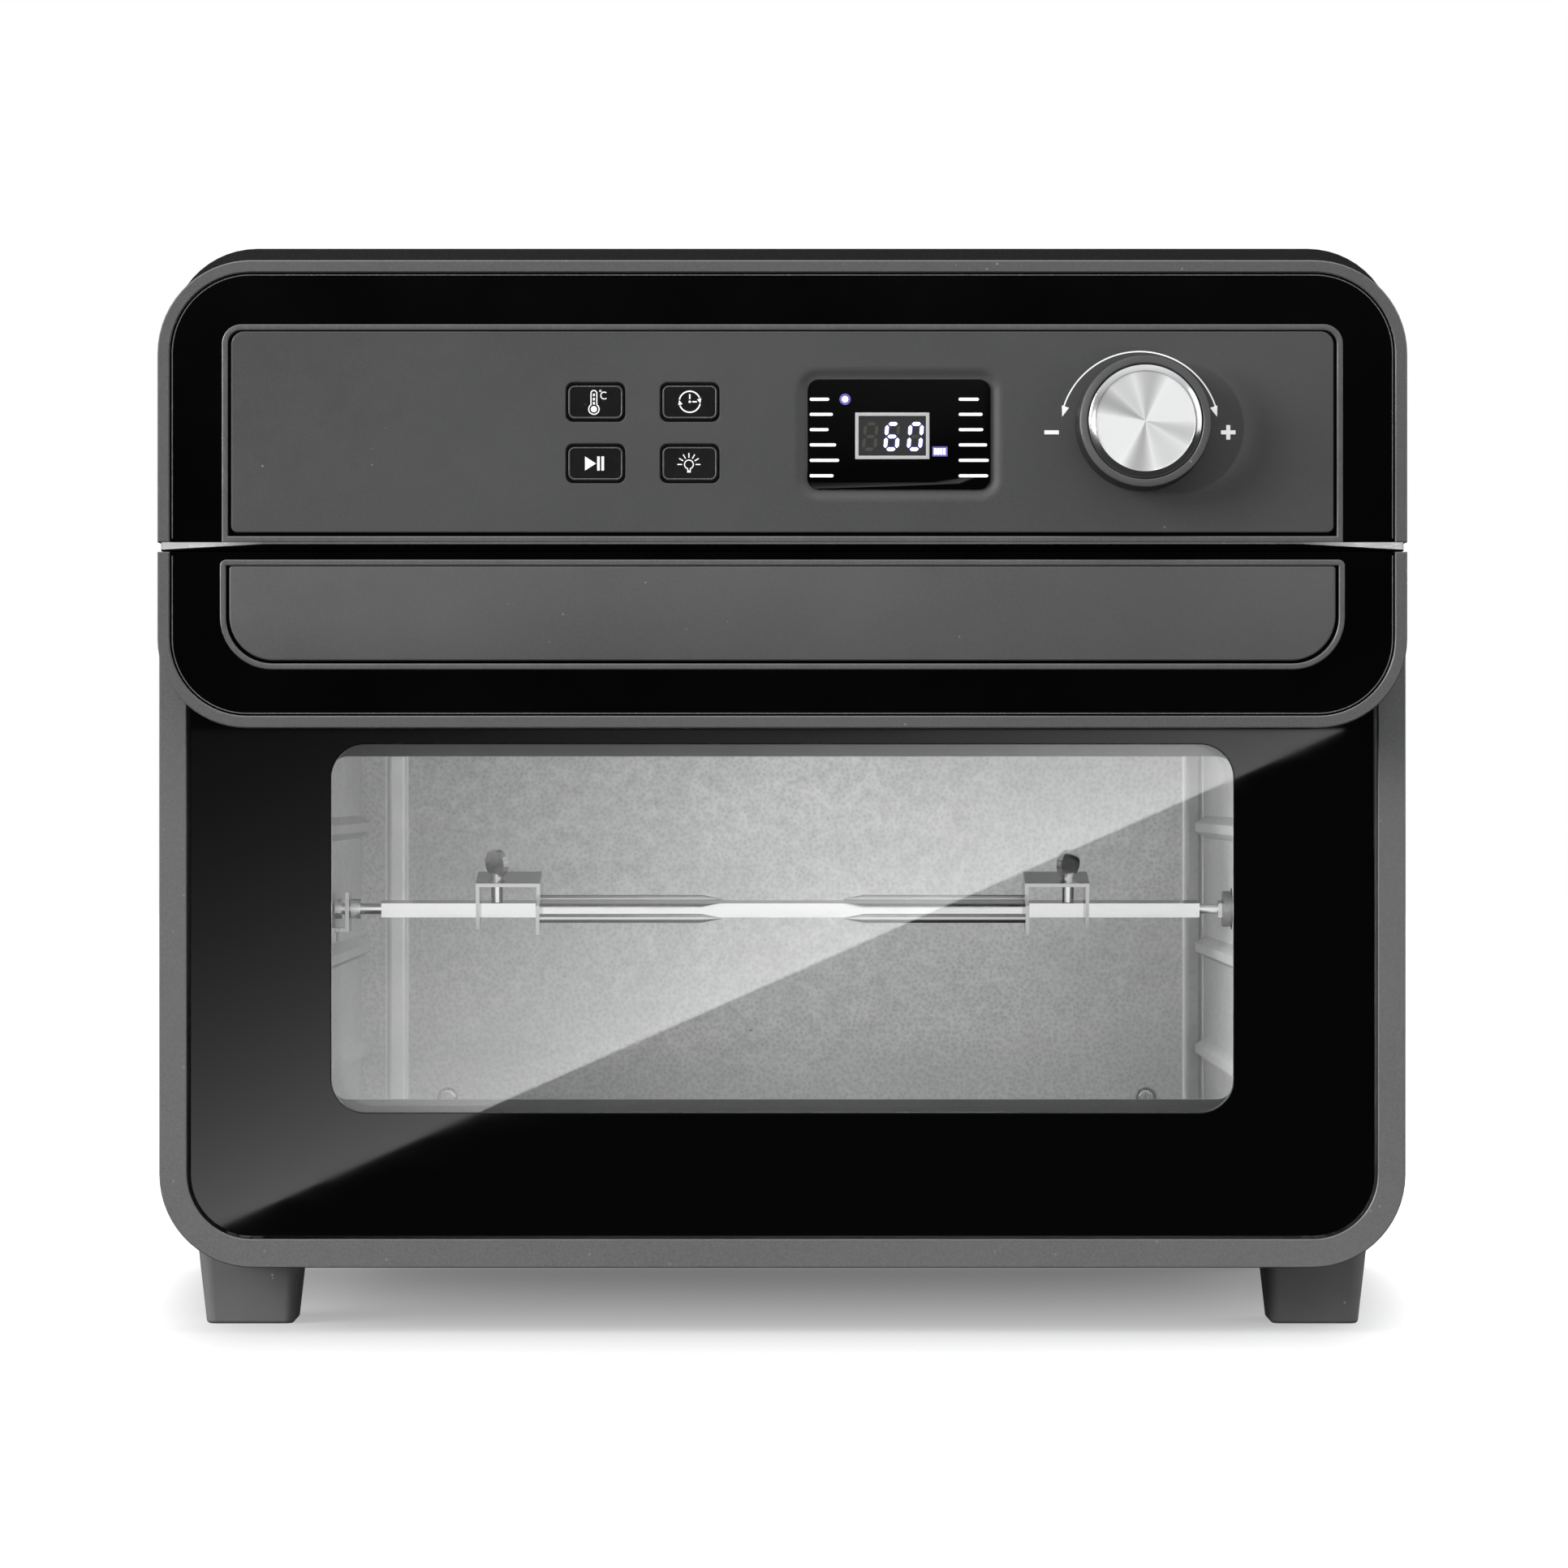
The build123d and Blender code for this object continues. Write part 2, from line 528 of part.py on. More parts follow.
with BuildPart() as lamp_holder:
    bar_x(LAMP_SEAT - 10, LAMP_SEAT + 4, (LAMP_Y, LAMP_Z), 12)
    bar_x(LAMP_SEAT, LAMP_SEAT + 4, (LAMP_Y, LAMP_Z), 7.2, Mode.SUBTRACT)
    for side in (-1, 1):
        arm_depths = (LAMP_Y + side * 20 - 2, LAMP_Y + side * 20 + 2)
        block((LAMP_SEAT + 2, -CAVITY_HALF_WIDTH - CAVITY_SHEET), arm_depths, (LAMP_Z - 5, LAMP_Z + 5))
        link_depths = tuple(sorted((LAMP_Y + side * 11, LAMP_Y + side * 22)))
        block((LAMP_SEAT, LAMP_SEAT + 2), link_depths, (LAMP_Z - 5, LAMP_Z + 5))
save(lamp_holder, "lamp_holder")

with BuildPart() as lamp_bulb:
    bar_x(LAMP_SEAT, LAMP_SEAT + 8, (LAMP_Y, LAMP_Z), 7)
    bar_x(LAMP_SEAT + 8, LAMP_SEAT + 22, (LAMP_Y, LAMP_Z), 8.5)
    fillet(lamp_bulb.edges().filter_by(GeomType.CIRCLE).group_by(Axis.X)[-1], 7)
save(lamp_bulb, "lamp_bulb")


# --- Rotisserie -----------------------------------------------------------------------------

MOTOR_FACE = 163.0

with BuildPart() as rotisserie_motor:
    bar_x(MOTOR_FACE + 3, 187, (SPIT_Y, SPIT_Z), 24)
    fillet(rotisserie_motor.edges().group_by(Axis.X)[-1], 2)
    block((MOTOR_FACE, MOTOR_FACE + 3), (SPIT_Y - 34, SPIT_Y + 34), (SPIT_Z - 12, SPIT_Z + 12))
    for side in (-1, 1):
        bar_x(outer_half, MOTOR_FACE, (SPIT_Y + side * 28, SPIT_Z), 3.5)
    bar_x(MOTOR_FACE, MOTOR_FACE + 17, (SPIT_Y, SPIT_Z), shaft_bore, Mode.SUBTRACT)
save(rotisserie_motor, "rotisserie_motor")

with BuildPart() as drive_socket:
    socket_end = SOCKET_START + 14
    bar_x(SOCKET_START, socket_end, (SPIT_Y, SPIT_Z), SOCKET_RADIUS)
    bar_x(socket_end, MOTOR_FACE + 15, (SPIT_Y, SPIT_Z), SHAFT_RADIUS)
    square_bar(SOCKET_START, SOCKET_START + 10, SPIT_SQUARE + 0.4, Mode.SUBTRACT)
save_turned(drive_socket, "drive_socket")

with BuildPart() as spit_rod:
    square_bar(SPIT_SHOULDER, SPIT_NECK[0], SPIT_SQUARE)
    square_bar(SPIT_NECK[1], SOCKET_START + 9, SPIT_SQUARE)
    bar_x(*SPIT_NECK, (SPIT_Y, SPIT_Z), 1.63)
    bar_x(SPIT_TAIL, SPIT_SHOULDER, (SPIT_Y, SPIT_Z), SHANK_RADIUS)
    bar_x(SPIT_TAIL, SPIT_TAIL + 2.3, (SPIT_Y, SPIT_Z), COLLAR_RADIUS)
    bar_x(BRACKET_X[1] + 0.2, BRACKET_X[1] + 3.6, (SPIT_Y, SPIT_Z), COLLAR_RADIUS)
save_turned(spit_rod, "spit_rod")

with BuildPart() as spit_bracket:
    saddle_depths = (SPIT_Y - 7, SPIT_Y + 7)
    shelf_top = BRACKET_FOOT + 1.2
    block(BRACKET_X, saddle_depths, (BRACKET_FOOT, 133.5))
    block((-CAVITY_HALF_WIDTH, BRACKET_X[1]), saddle_depths, (BRACKET_FOOT, shelf_top))
    block((-CAVITY_HALF_WIDTH, 1.2 - CAVITY_HALF_WIDTH), saddle_depths, (117, shelf_top))
    notch_half = SHANK_RADIUS + 0.08
    bar_x(*BRACKET_X, (SPIT_Y, SPIT_Z), notch_half, Mode.SUBTRACT)
    notch_depths = (SPIT_Y - notch_half, SPIT_Y + notch_half)
    block(BRACKET_X, notch_depths, (SPIT_Z, 134), Mode.SUBTRACT)
save(spit_bracket, "spit_bracket")


def fork_shape(side):
    """Meat fork: a folded bridge over the square rod, with two prongs reaching to the middle."""
    bridge_depths = (SPIT_Y - 9, SPIT_Y + 9)
    prong_plate_depths = (SPIT_Y - PRONG_OFFSET - 3, SPIT_Y + PRONG_OFFSET + 3)
    block(span(side, FORK_INNER, FORK_OUTER), bridge_depths, (FORK_TOP - FORK_SHEET, FORK_TOP))
    outer_leg = span(side, FORK_OUTER - FORK_SHEET, FORK_OUTER)
    inner_leg = span(side, FORK_INNER, FORK_INNER + FORK_SHEET)
    block(outer_leg, bridge_depths, (FORK_FOOT, FORK_TOP))
    block(inner_leg, bridge_depths, (FORK_FOOT, FORK_TOP))
    block(inner_leg, prong_plate_depths, (FORK_FOOT, SPIT_Z + 5))
    square_bar(*span(side, FORK_INNER, FORK_OUTER), SPIT_SQUARE + 0.4, Mode.SUBTRACT)
    bar_z(FORK_TOP - FORK_SHEET, FORK_TOP, (side * FORK_SCREW_X, SPIT_Y), 2.1, Mode.SUBTRACT)
    for row in (-PRONG_OFFSET, PRONG_OFFSET):
        near, far = span(side, PRONG_ROOT, FORK_INNER)
        bar_x(near, far, (SPIT_Y + row, SPIT_Z), PRONG_RADIUS)
        tip_plane = facing_right(side * PRONG_ROOT)
        with BuildSketch(tip_plane) as tip_root:
            with Locations((SPIT_Y + row, SPIT_Z)):
                Circle(PRONG_RADIUS)
        with BuildSketch(facing_right(side * (PRONG_ROOT - 6.5))) as tip_point:
            with Locations((SPIT_Y + row, SPIT_Z)):
                Circle(0.2)
        loft([tip_root.sketch.face(), tip_point.sketch.face()])


def thumb_screw_shape(side):
    """Clamp screw through a fork's saddle, with an upright coin-shaped head."""
    bar_z(130.5, 140, (side * FORK_SCREW_X, SPIT_Y), 2)
    coin = Plane(origin=(side * FORK_SCREW_X, SPIT_Y, 143.4), z_dir=(1, -side, 0))
    with BuildSketch(coin) as coin_face:
        Circle(4.6)
    extrude(coin_face.sketch, amount=1.1, both=True)


with BuildPart() as left_fork:
    fork_shape(-1)
save_turned(left_fork, "left_fork")

with BuildPart() as right_fork:
    fork_shape(1)
save_turned(right_fork, "right_fork")

with BuildPart() as left_thumb_screw:
    thumb_screw_shape(-1)
save_turned(left_thumb_screw, "left_thumb_screw")

with BuildPart() as right_thumb_screw:
    thumb_screw_shape(1)
save_turned(right_thumb_screw, "right_thumb_screw")


# --- Control block --------------------------------------------------------------------------

BEZEL_HALF_WIDTH = BLOCK_HALF_WIDTH - BLOCK_BAND
BEZEL_TOP = CONTROL_TOP - BLOCK_BAND
BEZEL_BACK = BLOCK_FRONT + 3.5
PANEL_HALF_WIDTH = 167.9
PANEL_TRIM_HALF_WIDTH = 170.8
PANEL_TRIM_TOP = 309.7
PANEL_HEIGHTS = (246.2, 307.5)
STRIP_HALF_WIDTH = 189.0
STRIP_TAPER_END = 158.0
STRIP_LOW = 241.0
STRIP_THIN = 242.7
BOARD_THICKNESS = 1.6
PILLARS = ((-76.0, 254.0), (-76.0, 300.0), (132.0, 254.0), (132.0, 300.0))
button_places = [(x, z) for z in BUTTON_Z for x in BUTTON_X]

with BuildPart() as control_frame:
    slab(BLOCK_FRONT, HOUSING_FRONT, BLOCK_HALF_WIDTH, CONTROL_BOTTOM, CONTROL_TOP, 0, CONTROL_CORNER)
    inner_corner = CONTROL_CORNER - BLOCK_BAND
    slab(
        BLOCK_FRONT, HOUSING_FRONT, BEZEL_HALF_WIDTH, CONTROL_BOTTOM, BEZEL_TOP,
        0, inner_corner, Mode.SUBTRACT,
    )
    chamfer(control_frame.edges().group_by(Axis.Y)[0], 0.35)
save(control_frame, "control_frame")

with BuildPart() as control_bezel:
    slab(BEZEL_FRONT, BEZEL_BACK, BEZEL_HALF_WIDTH, CONTROL_BOTTOM, BEZEL_TOP, 0, inner_corner)
    sill_depths = (BEZEL_BACK, HOUSING_FRONT)
    block((-BEZEL_HALF_WIDTH, BEZEL_HALF_WIDTH), sill_depths, (CONTROL_BOTTOM, CONTROL_BOTTOM + 2))
    slab(
        BEZEL_FRONT, POCKET_FLOOR, PANEL_TRIM_HALF_WIDTH, CONTROL_BOTTOM, PANEL_TRIM_TOP,
        0, 6, Mode.SUBTRACT,
    )
    for place in button_places:
        key_shape(place, WELL_SIZE, 2.5, POCKET_FLOOR, BEZEL_BACK, Mode.SUBTRACT)
    window = (DISPLAY_SIZE[0] - 3, DISPLAY_SIZE[1] - 3)
    key_shape(DISPLAY_CENTRE, window, 2, POCKET_FLOOR, BEZEL_BACK, Mode.SUBTRACT)
    bar_y(POCKET_FLOOR, BEZEL_BACK, KNOB_CENTRE, 5, Mode.SUBTRACT)
    for pillar in PILLARS:
        bar_y(BEZEL_BACK, BOARD_FRONT, pillar, 3)
save(control_bezel, "control_bezel")

with BuildPart() as panel_trim:
    slab(
        BEZEL_FRONT - 0.1, POCKET_FLOOR, PANEL_TRIM_HALF_WIDTH, CONTROL_BOTTOM, PANEL_TRIM_TOP, 0, 6,
    )
    slab(
        BEZEL_FRONT - 0.1, POCKET_FLOOR, PANEL_TRIM_HALF_WIDTH - 2, CONTROL_BOTTOM,
        PANEL_TRIM_TOP - 1.6, 0, 4.4, Mode.SUBTRACT,
    )
save(panel_trim, "panel_trim")

with BuildPart() as control_panel:
    slab(INLAY_FRONT, POCKET_FLOOR, PANEL_HALF_WIDTH, *PANEL_HEIGHTS, 2, 4)
    for place in button_places:
        key_shape(place, WELL_SIZE, 2.5, INLAY_FRONT, POCKET_FLOOR, Mode.SUBTRACT)
    key_shape(DISPLAY_CENTRE, DISPLAY_SIZE, 3.7, INLAY_FRONT, POCKET_FLOOR, Mode.SUBTRACT)
    bar_y(INLAY_FRONT, POCKET_FLOOR, KNOB_CENTRE, 6, Mode.SUBTRACT)
save(control_panel, "control_panel")

with BuildPart() as trim_strip:
    with BuildSketch(facing_front(BLOCK_FRONT + 4.5)) as strip_face:
        with BuildLine():
            Polyline(
                (-STRIP_HALF_WIDTH, CONTROL_BOTTOM), (-STRIP_HALF_WIDTH, STRIP_LOW),
                (-STRIP_TAPER_END, STRIP_THIN), (STRIP_TAPER_END, STRIP_THIN),
                (STRIP_HALF_WIDTH, STRIP_LOW), (STRIP_HALF_WIDTH, CONTROL_BOTTOM), close=True,
            )
        make_face()
    extrude(strip_face.sketch, amount=4.3)
save(trim_strip, "trim_strip")

with BuildPart() as display_lens:
    lens_size = (DISPLAY_SIZE[0] - 0.2, DISPLAY_SIZE[1] - 0.2)
    key_shape(DISPLAY_CENTRE, lens_size, 3.6, POCKET_FLOOR - 0.9, POCKET_FLOOR)
save(display_lens, "display_lens")

with BuildPart() as led_display:
    module_size = (window[0] - 0.6, window[1] - 0.6)
    key_shape(DISPLAY_CENTRE, module_size, 1.6, POCKET_FLOOR + 0.2, BOARD_FRONT)
save(led_display, "led_display")

with BuildPart() as control_board:
    board_size = (216.0, 54.0)
    board_centre = (28.0, 277.0)
    board_back = BOARD_FRONT + BOARD_THICKNESS
    key_shape(board_centre, board_size, 2, BOARD_FRONT, board_back)
    for place in button_places:
        key_shape(place, (6, 6), 0.5, BOARD_FRONT - 3.4, BOARD_FRONT)
        bar_y(BOARD_FRONT - 4.5, BOARD_FRONT - 3.4, place, 1.7)
    key_shape(KNOB_CENTRE, (13, 13), 1, BOARD_FRONT - 6.5, BOARD_FRONT)
    bar_y(BOARD_FRONT - 11, BOARD_FRONT - 6.5, KNOB_CENTRE, 4.5)
    bar_y(BOARD_FRONT - 11, BOARD_FRONT, KNOB_CENTRE, shaft_bore, Mode.SUBTRACT)
    key_shape((-20, 262), (24, 10), 1, board_back, BOARD_FRONT + 8)
    key_shape((70, 290), (14, 14), 1, board_back, BOARD_FRONT + 4)
save(control_board, "control_board")

with BuildPart() as power_board:
    board_bottom = HEAT_SHIELD_TOP + 8
    board_top = board_bottom + BOARD_THICKNESS
    block((56, 146), (-60, 60), (board_bottom, board_top))
    for corner in ((62, -54), (140, -54), (62, 54), (140, 54)):
        bar_z(HEAT_SHIELD_TOP, board_bottom, corner, 3)
    for depth in (-40, -20, 0):
        block((64, 80), (depth - 8, depth + 8), (board_top, board_top + 16))
    block((92, 128), (-46, -16), (board_top, board_top + 26))
    for depth in (0, 18):
        bar_z(board_top, board_top + 20, (104, depth), 6)
    block((64, 128), (44, 54), (board_top, board_top + 12))
save(power_board, "power_board")

with BuildPart() as door_switch:
    block((-182, -170), (CAVITY_FRONT, CAVITY_FRONT + 7), (110, 136))
save(door_switch, "door_switch")


def knob_disc(front, back, radius, mode=Mode.ADD):
    """Round step of the knob, on the knob's axis."""
    bar_y(front, back, KNOB_CENTRE, radius, mode)


with BuildPart() as knob_body:
    with BuildSketch(facing_front(INLAY_FRONT - 0.9)) as knob_root:
        with Locations(KNOB_CENTRE):
            Circle(KNOB_RADIUS)
    with BuildSketch(facing_front(KNOB_FRONT + 1)) as knob_nose:
        with Locations(KNOB_CENTRE):
            Circle(KNOB_RADIUS - 1.2)
    loft([knob_root.sketch.face(), knob_nose.sketch.face()])
    fillet(knob_body.edges().group_by(Axis.Y)[0], 0.8)
    knob_disc(KNOB_FRONT, KNOB_FRONT + 3.5, CAP_RADIUS, Mode.SUBTRACT)
    knob_disc(INLAY_FRONT - 0.9, BOARD_FRONT - 1, SHAFT_RADIUS)
save(knob_body, "knob_body")

with BuildPart() as knob_cap:
    knob_disc(KNOB_FRONT, KNOB_FRONT + 3.5, CAP_RADIUS)
    chamfer(knob_cap.edges().group_by(Axis.Y)[0], 0.8)
save(knob_cap, "knob_cap")


def button_shape(place):
    """Push button: a cap in its well, a retaining flange behind the bezel and a stem."""
    key_shape(place, BUTTON_SIZE, 2, BEZEL_FRONT - 0.2, BEZEL_BACK + 0.1)
    flange_size = (WELL_SIZE[0] + 1, WELL_SIZE[1] + 1)
    key_shape(place, flange_size, 2, BEZEL_BACK + 0.1, BEZEL_BACK + 1.3)
    bar_y(BEZEL_BACK + 1.3, BOARD_FRONT - 4.7 - BUTTON_TRAVEL, place, 2.5)


with BuildPart() as button_temperature:
    button_shape((BUTTON_X[0], BUTTON_Z[0]))
save(button_temperature, "button_temperature")

with BuildPart() as button_timer:
    button_shape((BUTTON_X[1], BUTTON_Z[0]))
save(button_timer, "button_timer")

with BuildPart() as button_play:
    button_shape((BUTTON_X[0], BUTTON_Z[1]))
save(button_play, "button_play")

with BuildPart() as button_light:
    button_shape((BUTTON_X[1], BUTTON_Z[1]))
save(button_light, "button_light")


# --- Door -----------------------------------------------------------------------------------

GLASS_FRONT = DOOR_FRONT + 0.3
GLASS_BACK = GLASS_FRONT + 4.0
LINER_BACK = DOOR_BACK + SHEET
FRAME_INNER_HALF = DOOR_HALF_WIDTH - DOOR_BAND
FRAME_INNER_BOTTOM = 29.35
EAR_SPANS = ((160.5, 163.5), (168.5, 171.5))
NOTCH = (163.5, 168.5)
PIN_RADIUS = 2.5
GLASS_HALF_WIDTH = 182.5
GLASS_HEIGHTS = (30.35, 237.5)
LINER_HALF_WIDTH = 186.0
LINER_HEIGHTS = (29.8, 237.0)
LINER_WINDOW = (140.5, 71.3, 178.2)
INNER_GLASS_OUTLINE = (152.0, 62.0, 188.0)
SEAL_OUTER = (156.0, 34.5, 236.5)
SEAL_INNER = (151.5, 38.5, 233.0)
SEAL_THICKNESS = 0.7

with BuildPart() as door_frame:
    slab(DOOR_FRONT, DOOR_BACK, DOOR_HALF_WIDTH, DOOR_BOTTOM, DOOR_TOP, DOOR_CORNER, 0)
    slab(DOOR_FRONT, DOOR_BACK, FRAME_INNER_HALF, FRAME_INNER_BOTTOM, DOOR_TOP, 20, 0, Mode.SUBTRACT)
    chamfer(door_frame.edges().group_by(Axis.Y)[0], 0.3)
    block((-FRAME_INNER_HALF, FRAME_INNER_HALF), (GLASS_BACK, DOOR_BACK), (230, DOOR_TOP))
    for side in (-1, 1):
        for ear in EAR_SPANS:
            near, far = span(side, *ear)
            bar_x(near, far, (HINGE_Y, HINGE_Z), 5.5)
    add(sweep_waste, mode=Mode.SUBTRACT)
    for side in (-1, 1):
        block(span(side, *NOTCH), (GLASS_BACK, DOOR_BACK), (20, 36), Mode.SUBTRACT)
        near, far = span(side, EAR_SPANS[0][0], EAR_SPANS[1][1])
        bar_x(near, far, (HINGE_Y, HINGE_Z), PIN_RADIUS, Mode.SUBTRACT)
save(door_frame, "door_frame")

with BuildPart() as hinge_pins:
    for side in (-1, 1):
        near, far = span(side, EAR_SPANS[0][0], EAR_SPANS[1][1])
        bar_x(near, far, (HINGE_Y, HINGE_Z), PIN_RADIUS)
save(hinge_pins, "hinge_pins")

with BuildPart() as hinge_brackets:
    for side in (-1, 1):
        near, far = span(side, *HINGE_ARM_X)
        bar_x(near, far, (HINGE_Y, HINGE_Z), HINGE_ARM_HALF)
        arm_heights = (HINGE_Z - HINGE_ARM_HALF, HINGE_Z + HINGE_ARM_HALF)
        block((near, far), (HINGE_Y, CAVITY_FRONT), arm_heights)
        block(span(side, 161, 173), (CAVITY_FRONT, CAVITY_FRONT + 2.5), (25.5, 62))
        bar_x(near, far, (HINGE_Y, HINGE_Z), PIN_RADIUS + RUNNING_GAP, Mode.SUBTRACT)
save(hinge_brackets, "hinge_brackets")

with BuildPart() as door_glass:
    slab(GLASS_FRONT, GLASS_BACK, GLASS_HALF_WIDTH, *GLASS_HEIGHTS, 19, 0)
    for x in HANDLE_SCREW_X:
        bar_y(GLASS_FRONT, GLASS_BACK, (x, HANDLE_SCREW_Z), 2.6, Mode.SUBTRACT)
save(door_glass, "door_glass")

with BuildPart() as door_liner:
    slab(DOOR_BACK, LINER_BACK, LINER_HALF_WIDTH, *LINER_HEIGHTS, 22, 0)
    slab(DOOR_BACK, LINER_BACK, *LINER_WINDOW, 5, 5, Mode.SUBTRACT)
    for side in (-1, 1):
        block(span(side, *NOTCH), (DOOR_BACK, LINER_BACK), (29, 36), Mode.SUBTRACT)
save(door_liner, "door_liner")

with BuildPart() as inner_glass:
    slab(DOOR_BACK - 4, DOOR_BACK, *INNER_GLASS_OUTLINE, 3, 3)
save(inner_glass, "inner_glass")

with BuildPart() as door_seal:
    seal_back = LINER_BACK + SEAL_THICKNESS
    slab(LINER_BACK, seal_back, *SEAL_OUTER, 6, 6)
    slab(LINER_BACK, seal_back, *SEAL_INNER, 4, 4, Mode.SUBTRACT)
save(door_seal, "door_seal")

HANDLE_TRIM_HALF_WIDTH = 171.4
HANDLE_TRIM_BOTTOM = 204.4
HANDLE_TRIM_TOP = 238.0
HANDLE_WALL = 2.5
CORE_CORNER = HANDLE_CORNER - BLOCK_BAND

with BuildPart() as handle_rim:
    slab(BLOCK_FRONT, DOOR_FRONT, BLOCK_HALF_WIDTH, HANDLE_BOTTOM, HANDLE_TOP, HANDLE_CORNER, 0)
    core_bottom = HANDLE_BOTTOM + BLOCK_BAND
    slab(BLOCK_FRONT, DOOR_FRONT, BEZEL_HALF_WIDTH, core_bottom, HANDLE_TOP, CORE_CORNER, 0, Mode.SUBTRACT)
    chamfer(handle_rim.edges().group_by(Axis.Y)[0], 0.35)
save(handle_rim, "handle_rim")

with BuildPart() as handle_core:
    slab(BEZEL_FRONT, DOOR_FRONT, BEZEL_HALF_WIDTH, core_bottom, HANDLE_TOP, CORE_CORNER, 0)
    slab(
        BEZEL_FRONT + HANDLE_WALL, DOOR_FRONT, BEZEL_HALF_WIDTH - HANDLE_WALL,
        core_bottom + HANDLE_WALL, HANDLE_TOP - HANDLE_WALL, CORE_CORNER - HANDLE_WALL, 0, Mode.SUBTRACT,
    )
    slab(
        BEZEL_FRONT, POCKET_FLOOR, HANDLE_TRIM_HALF_WIDTH, HANDLE_TRIM_BOTTOM, HANDLE_TRIM_TOP,
        16, 2, Mode.SUBTRACT,
    )
    for x in HANDLE_SCREW_X:
        bar_y(BEZEL_FRONT + HANDLE_WALL, GLASS_FRONT, (x, HANDLE_SCREW_Z), 5)
        bar_y(DOOR_FRONT - 14, GLASS_FRONT, (x, HANDLE_SCREW_Z), 2.05, Mode.SUBTRACT)
save(handle_core, "handle_core")

with BuildPart() as handle_trim:
    slab(BEZEL_FRONT - 0.1, POCKET_FLOOR, HANDLE_TRIM_HALF_WIDTH, HANDLE_TRIM_BOTTOM, HANDLE_TRIM_TOP, 16, 2)
    slab(
        BEZEL_FRONT - 0.1, POCKET_FLOOR, HANDLE_TRIM_HALF_WIDTH - 2, HANDLE_TRIM_BOTTOM + 2,
        HANDLE_TRIM_TOP - 1.2, 14, 1, Mode.SUBTRACT,
    )
save(handle_trim, "handle_trim")

with BuildPart() as handle_panel:
    slab(INLAY_FRONT, POCKET_FLOOR, 168.5, 207.2, 236.0, 13.6, 1)
save(handle_panel, "handle_panel")

with BuildPart() as handle_screws:
    for x in HANDLE_SCREW_X:
        bar_y(DOOR_FRONT - 12, GLASS_BACK, (x, HANDLE_SCREW_Z), 2)
        bar_y(GLASS_BACK, GLASS_BACK + 2.6, (x, HANDLE_SCREW_Z), 4)
save(handle_screws, "handle_screws")
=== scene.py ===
import bpy
import json
import math
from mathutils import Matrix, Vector


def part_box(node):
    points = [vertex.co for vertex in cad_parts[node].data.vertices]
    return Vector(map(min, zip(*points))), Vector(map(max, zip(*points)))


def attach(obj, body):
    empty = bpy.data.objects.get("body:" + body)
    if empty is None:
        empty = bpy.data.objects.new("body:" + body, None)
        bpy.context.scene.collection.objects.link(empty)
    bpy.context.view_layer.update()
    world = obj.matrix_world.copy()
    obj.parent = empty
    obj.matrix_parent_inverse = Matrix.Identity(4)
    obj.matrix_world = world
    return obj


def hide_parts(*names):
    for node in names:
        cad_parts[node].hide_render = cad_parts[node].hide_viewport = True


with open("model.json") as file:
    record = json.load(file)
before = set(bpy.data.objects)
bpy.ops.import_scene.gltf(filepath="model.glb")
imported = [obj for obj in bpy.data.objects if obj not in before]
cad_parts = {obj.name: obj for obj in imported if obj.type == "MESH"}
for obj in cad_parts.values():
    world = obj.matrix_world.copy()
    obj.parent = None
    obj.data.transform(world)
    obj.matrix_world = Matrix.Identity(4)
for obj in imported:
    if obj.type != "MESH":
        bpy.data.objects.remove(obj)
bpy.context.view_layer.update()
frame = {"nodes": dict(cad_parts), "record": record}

MM = 0.001
CORNER_STEPS = 12

LEAST_BEND = 0.02 * MM

# Camera: level, in front of the door, at about half the oven's height; its place is (x, z).
CAMERA_DISTANCE = 1.9
CAMERA_POINT = (0.0005, 0.1696)
FRAME_WIDTH = 0.483
SENSOR = 36.0


# --- Mesh helpers ---------------------------------------------------------------------------


def point_at(centre, radius, degrees):
    """Point (x, z) at a distance and direction from a centre."""
    angle = math.radians(degrees)
    return (centre[0] + radius * math.cos(angle), centre[1] + radius * math.sin(angle))


def arc(centre, radius, start, end, steps=40):
    """Points along an arc, angles in degrees."""
    return [point_at(centre, radius, start + (end - start) * i / steps) for i in range(steps + 1)]


def circle(centre, radius, steps=40):
    """Evenly spaced points once around a circle."""
    return arc(centre, radius, 0, 360 - 360 / steps, steps - 1)


def box_loop(left, right, low, high):
    """Plain rectangle as (x, z) points."""
    return [(left, low), (right, low), (right, high), (left, high)]


def rounded_loop(half_x, half_z, centre, low_radius, high_radius, inset=0.0):
    """Rounded rectangle as (x, z) points, anticlockwise from the lower right corner."""
    points = []
    corners = ((1, -1, low_radius, -90), (1, 1, high_radius, 0),
               (-1, 1, high_radius, 90), (-1, -1, low_radius, 180))
    for side_x, side_z, radius, start in corners:
        bend = max(radius - inset, LEAST_BEND)
        corner_x = centre[0] + side_x * (half_x - inset - bend)
        corner_z = centre[1] + side_z * (half_z - inset - bend)
        points += arc((corner_x, corner_z), bend, start, start + 90, CORNER_STEPS)
    return points


def link_object(name, data):
    """New object in the scene around a mesh, a curve, a light or a camera."""
    thing = bpy.data.objects.new(name, data)
    bpy.context.scene.collection.objects.link(thing)
    return thing


def dress_mesh(name, mesh, material, sharp_angle):
    """Object of one material, given as itself or by name, smooth up to an angle in degrees."""
    mesh.materials.clear()
    mesh.materials.append(MATERIALS[material] if isinstance(material, str) else material)
    mesh.shade_smooth()
    mesh.set_sharp_from_angle(angle=math.radians(sharp_angle))
    return link_object(name, mesh)


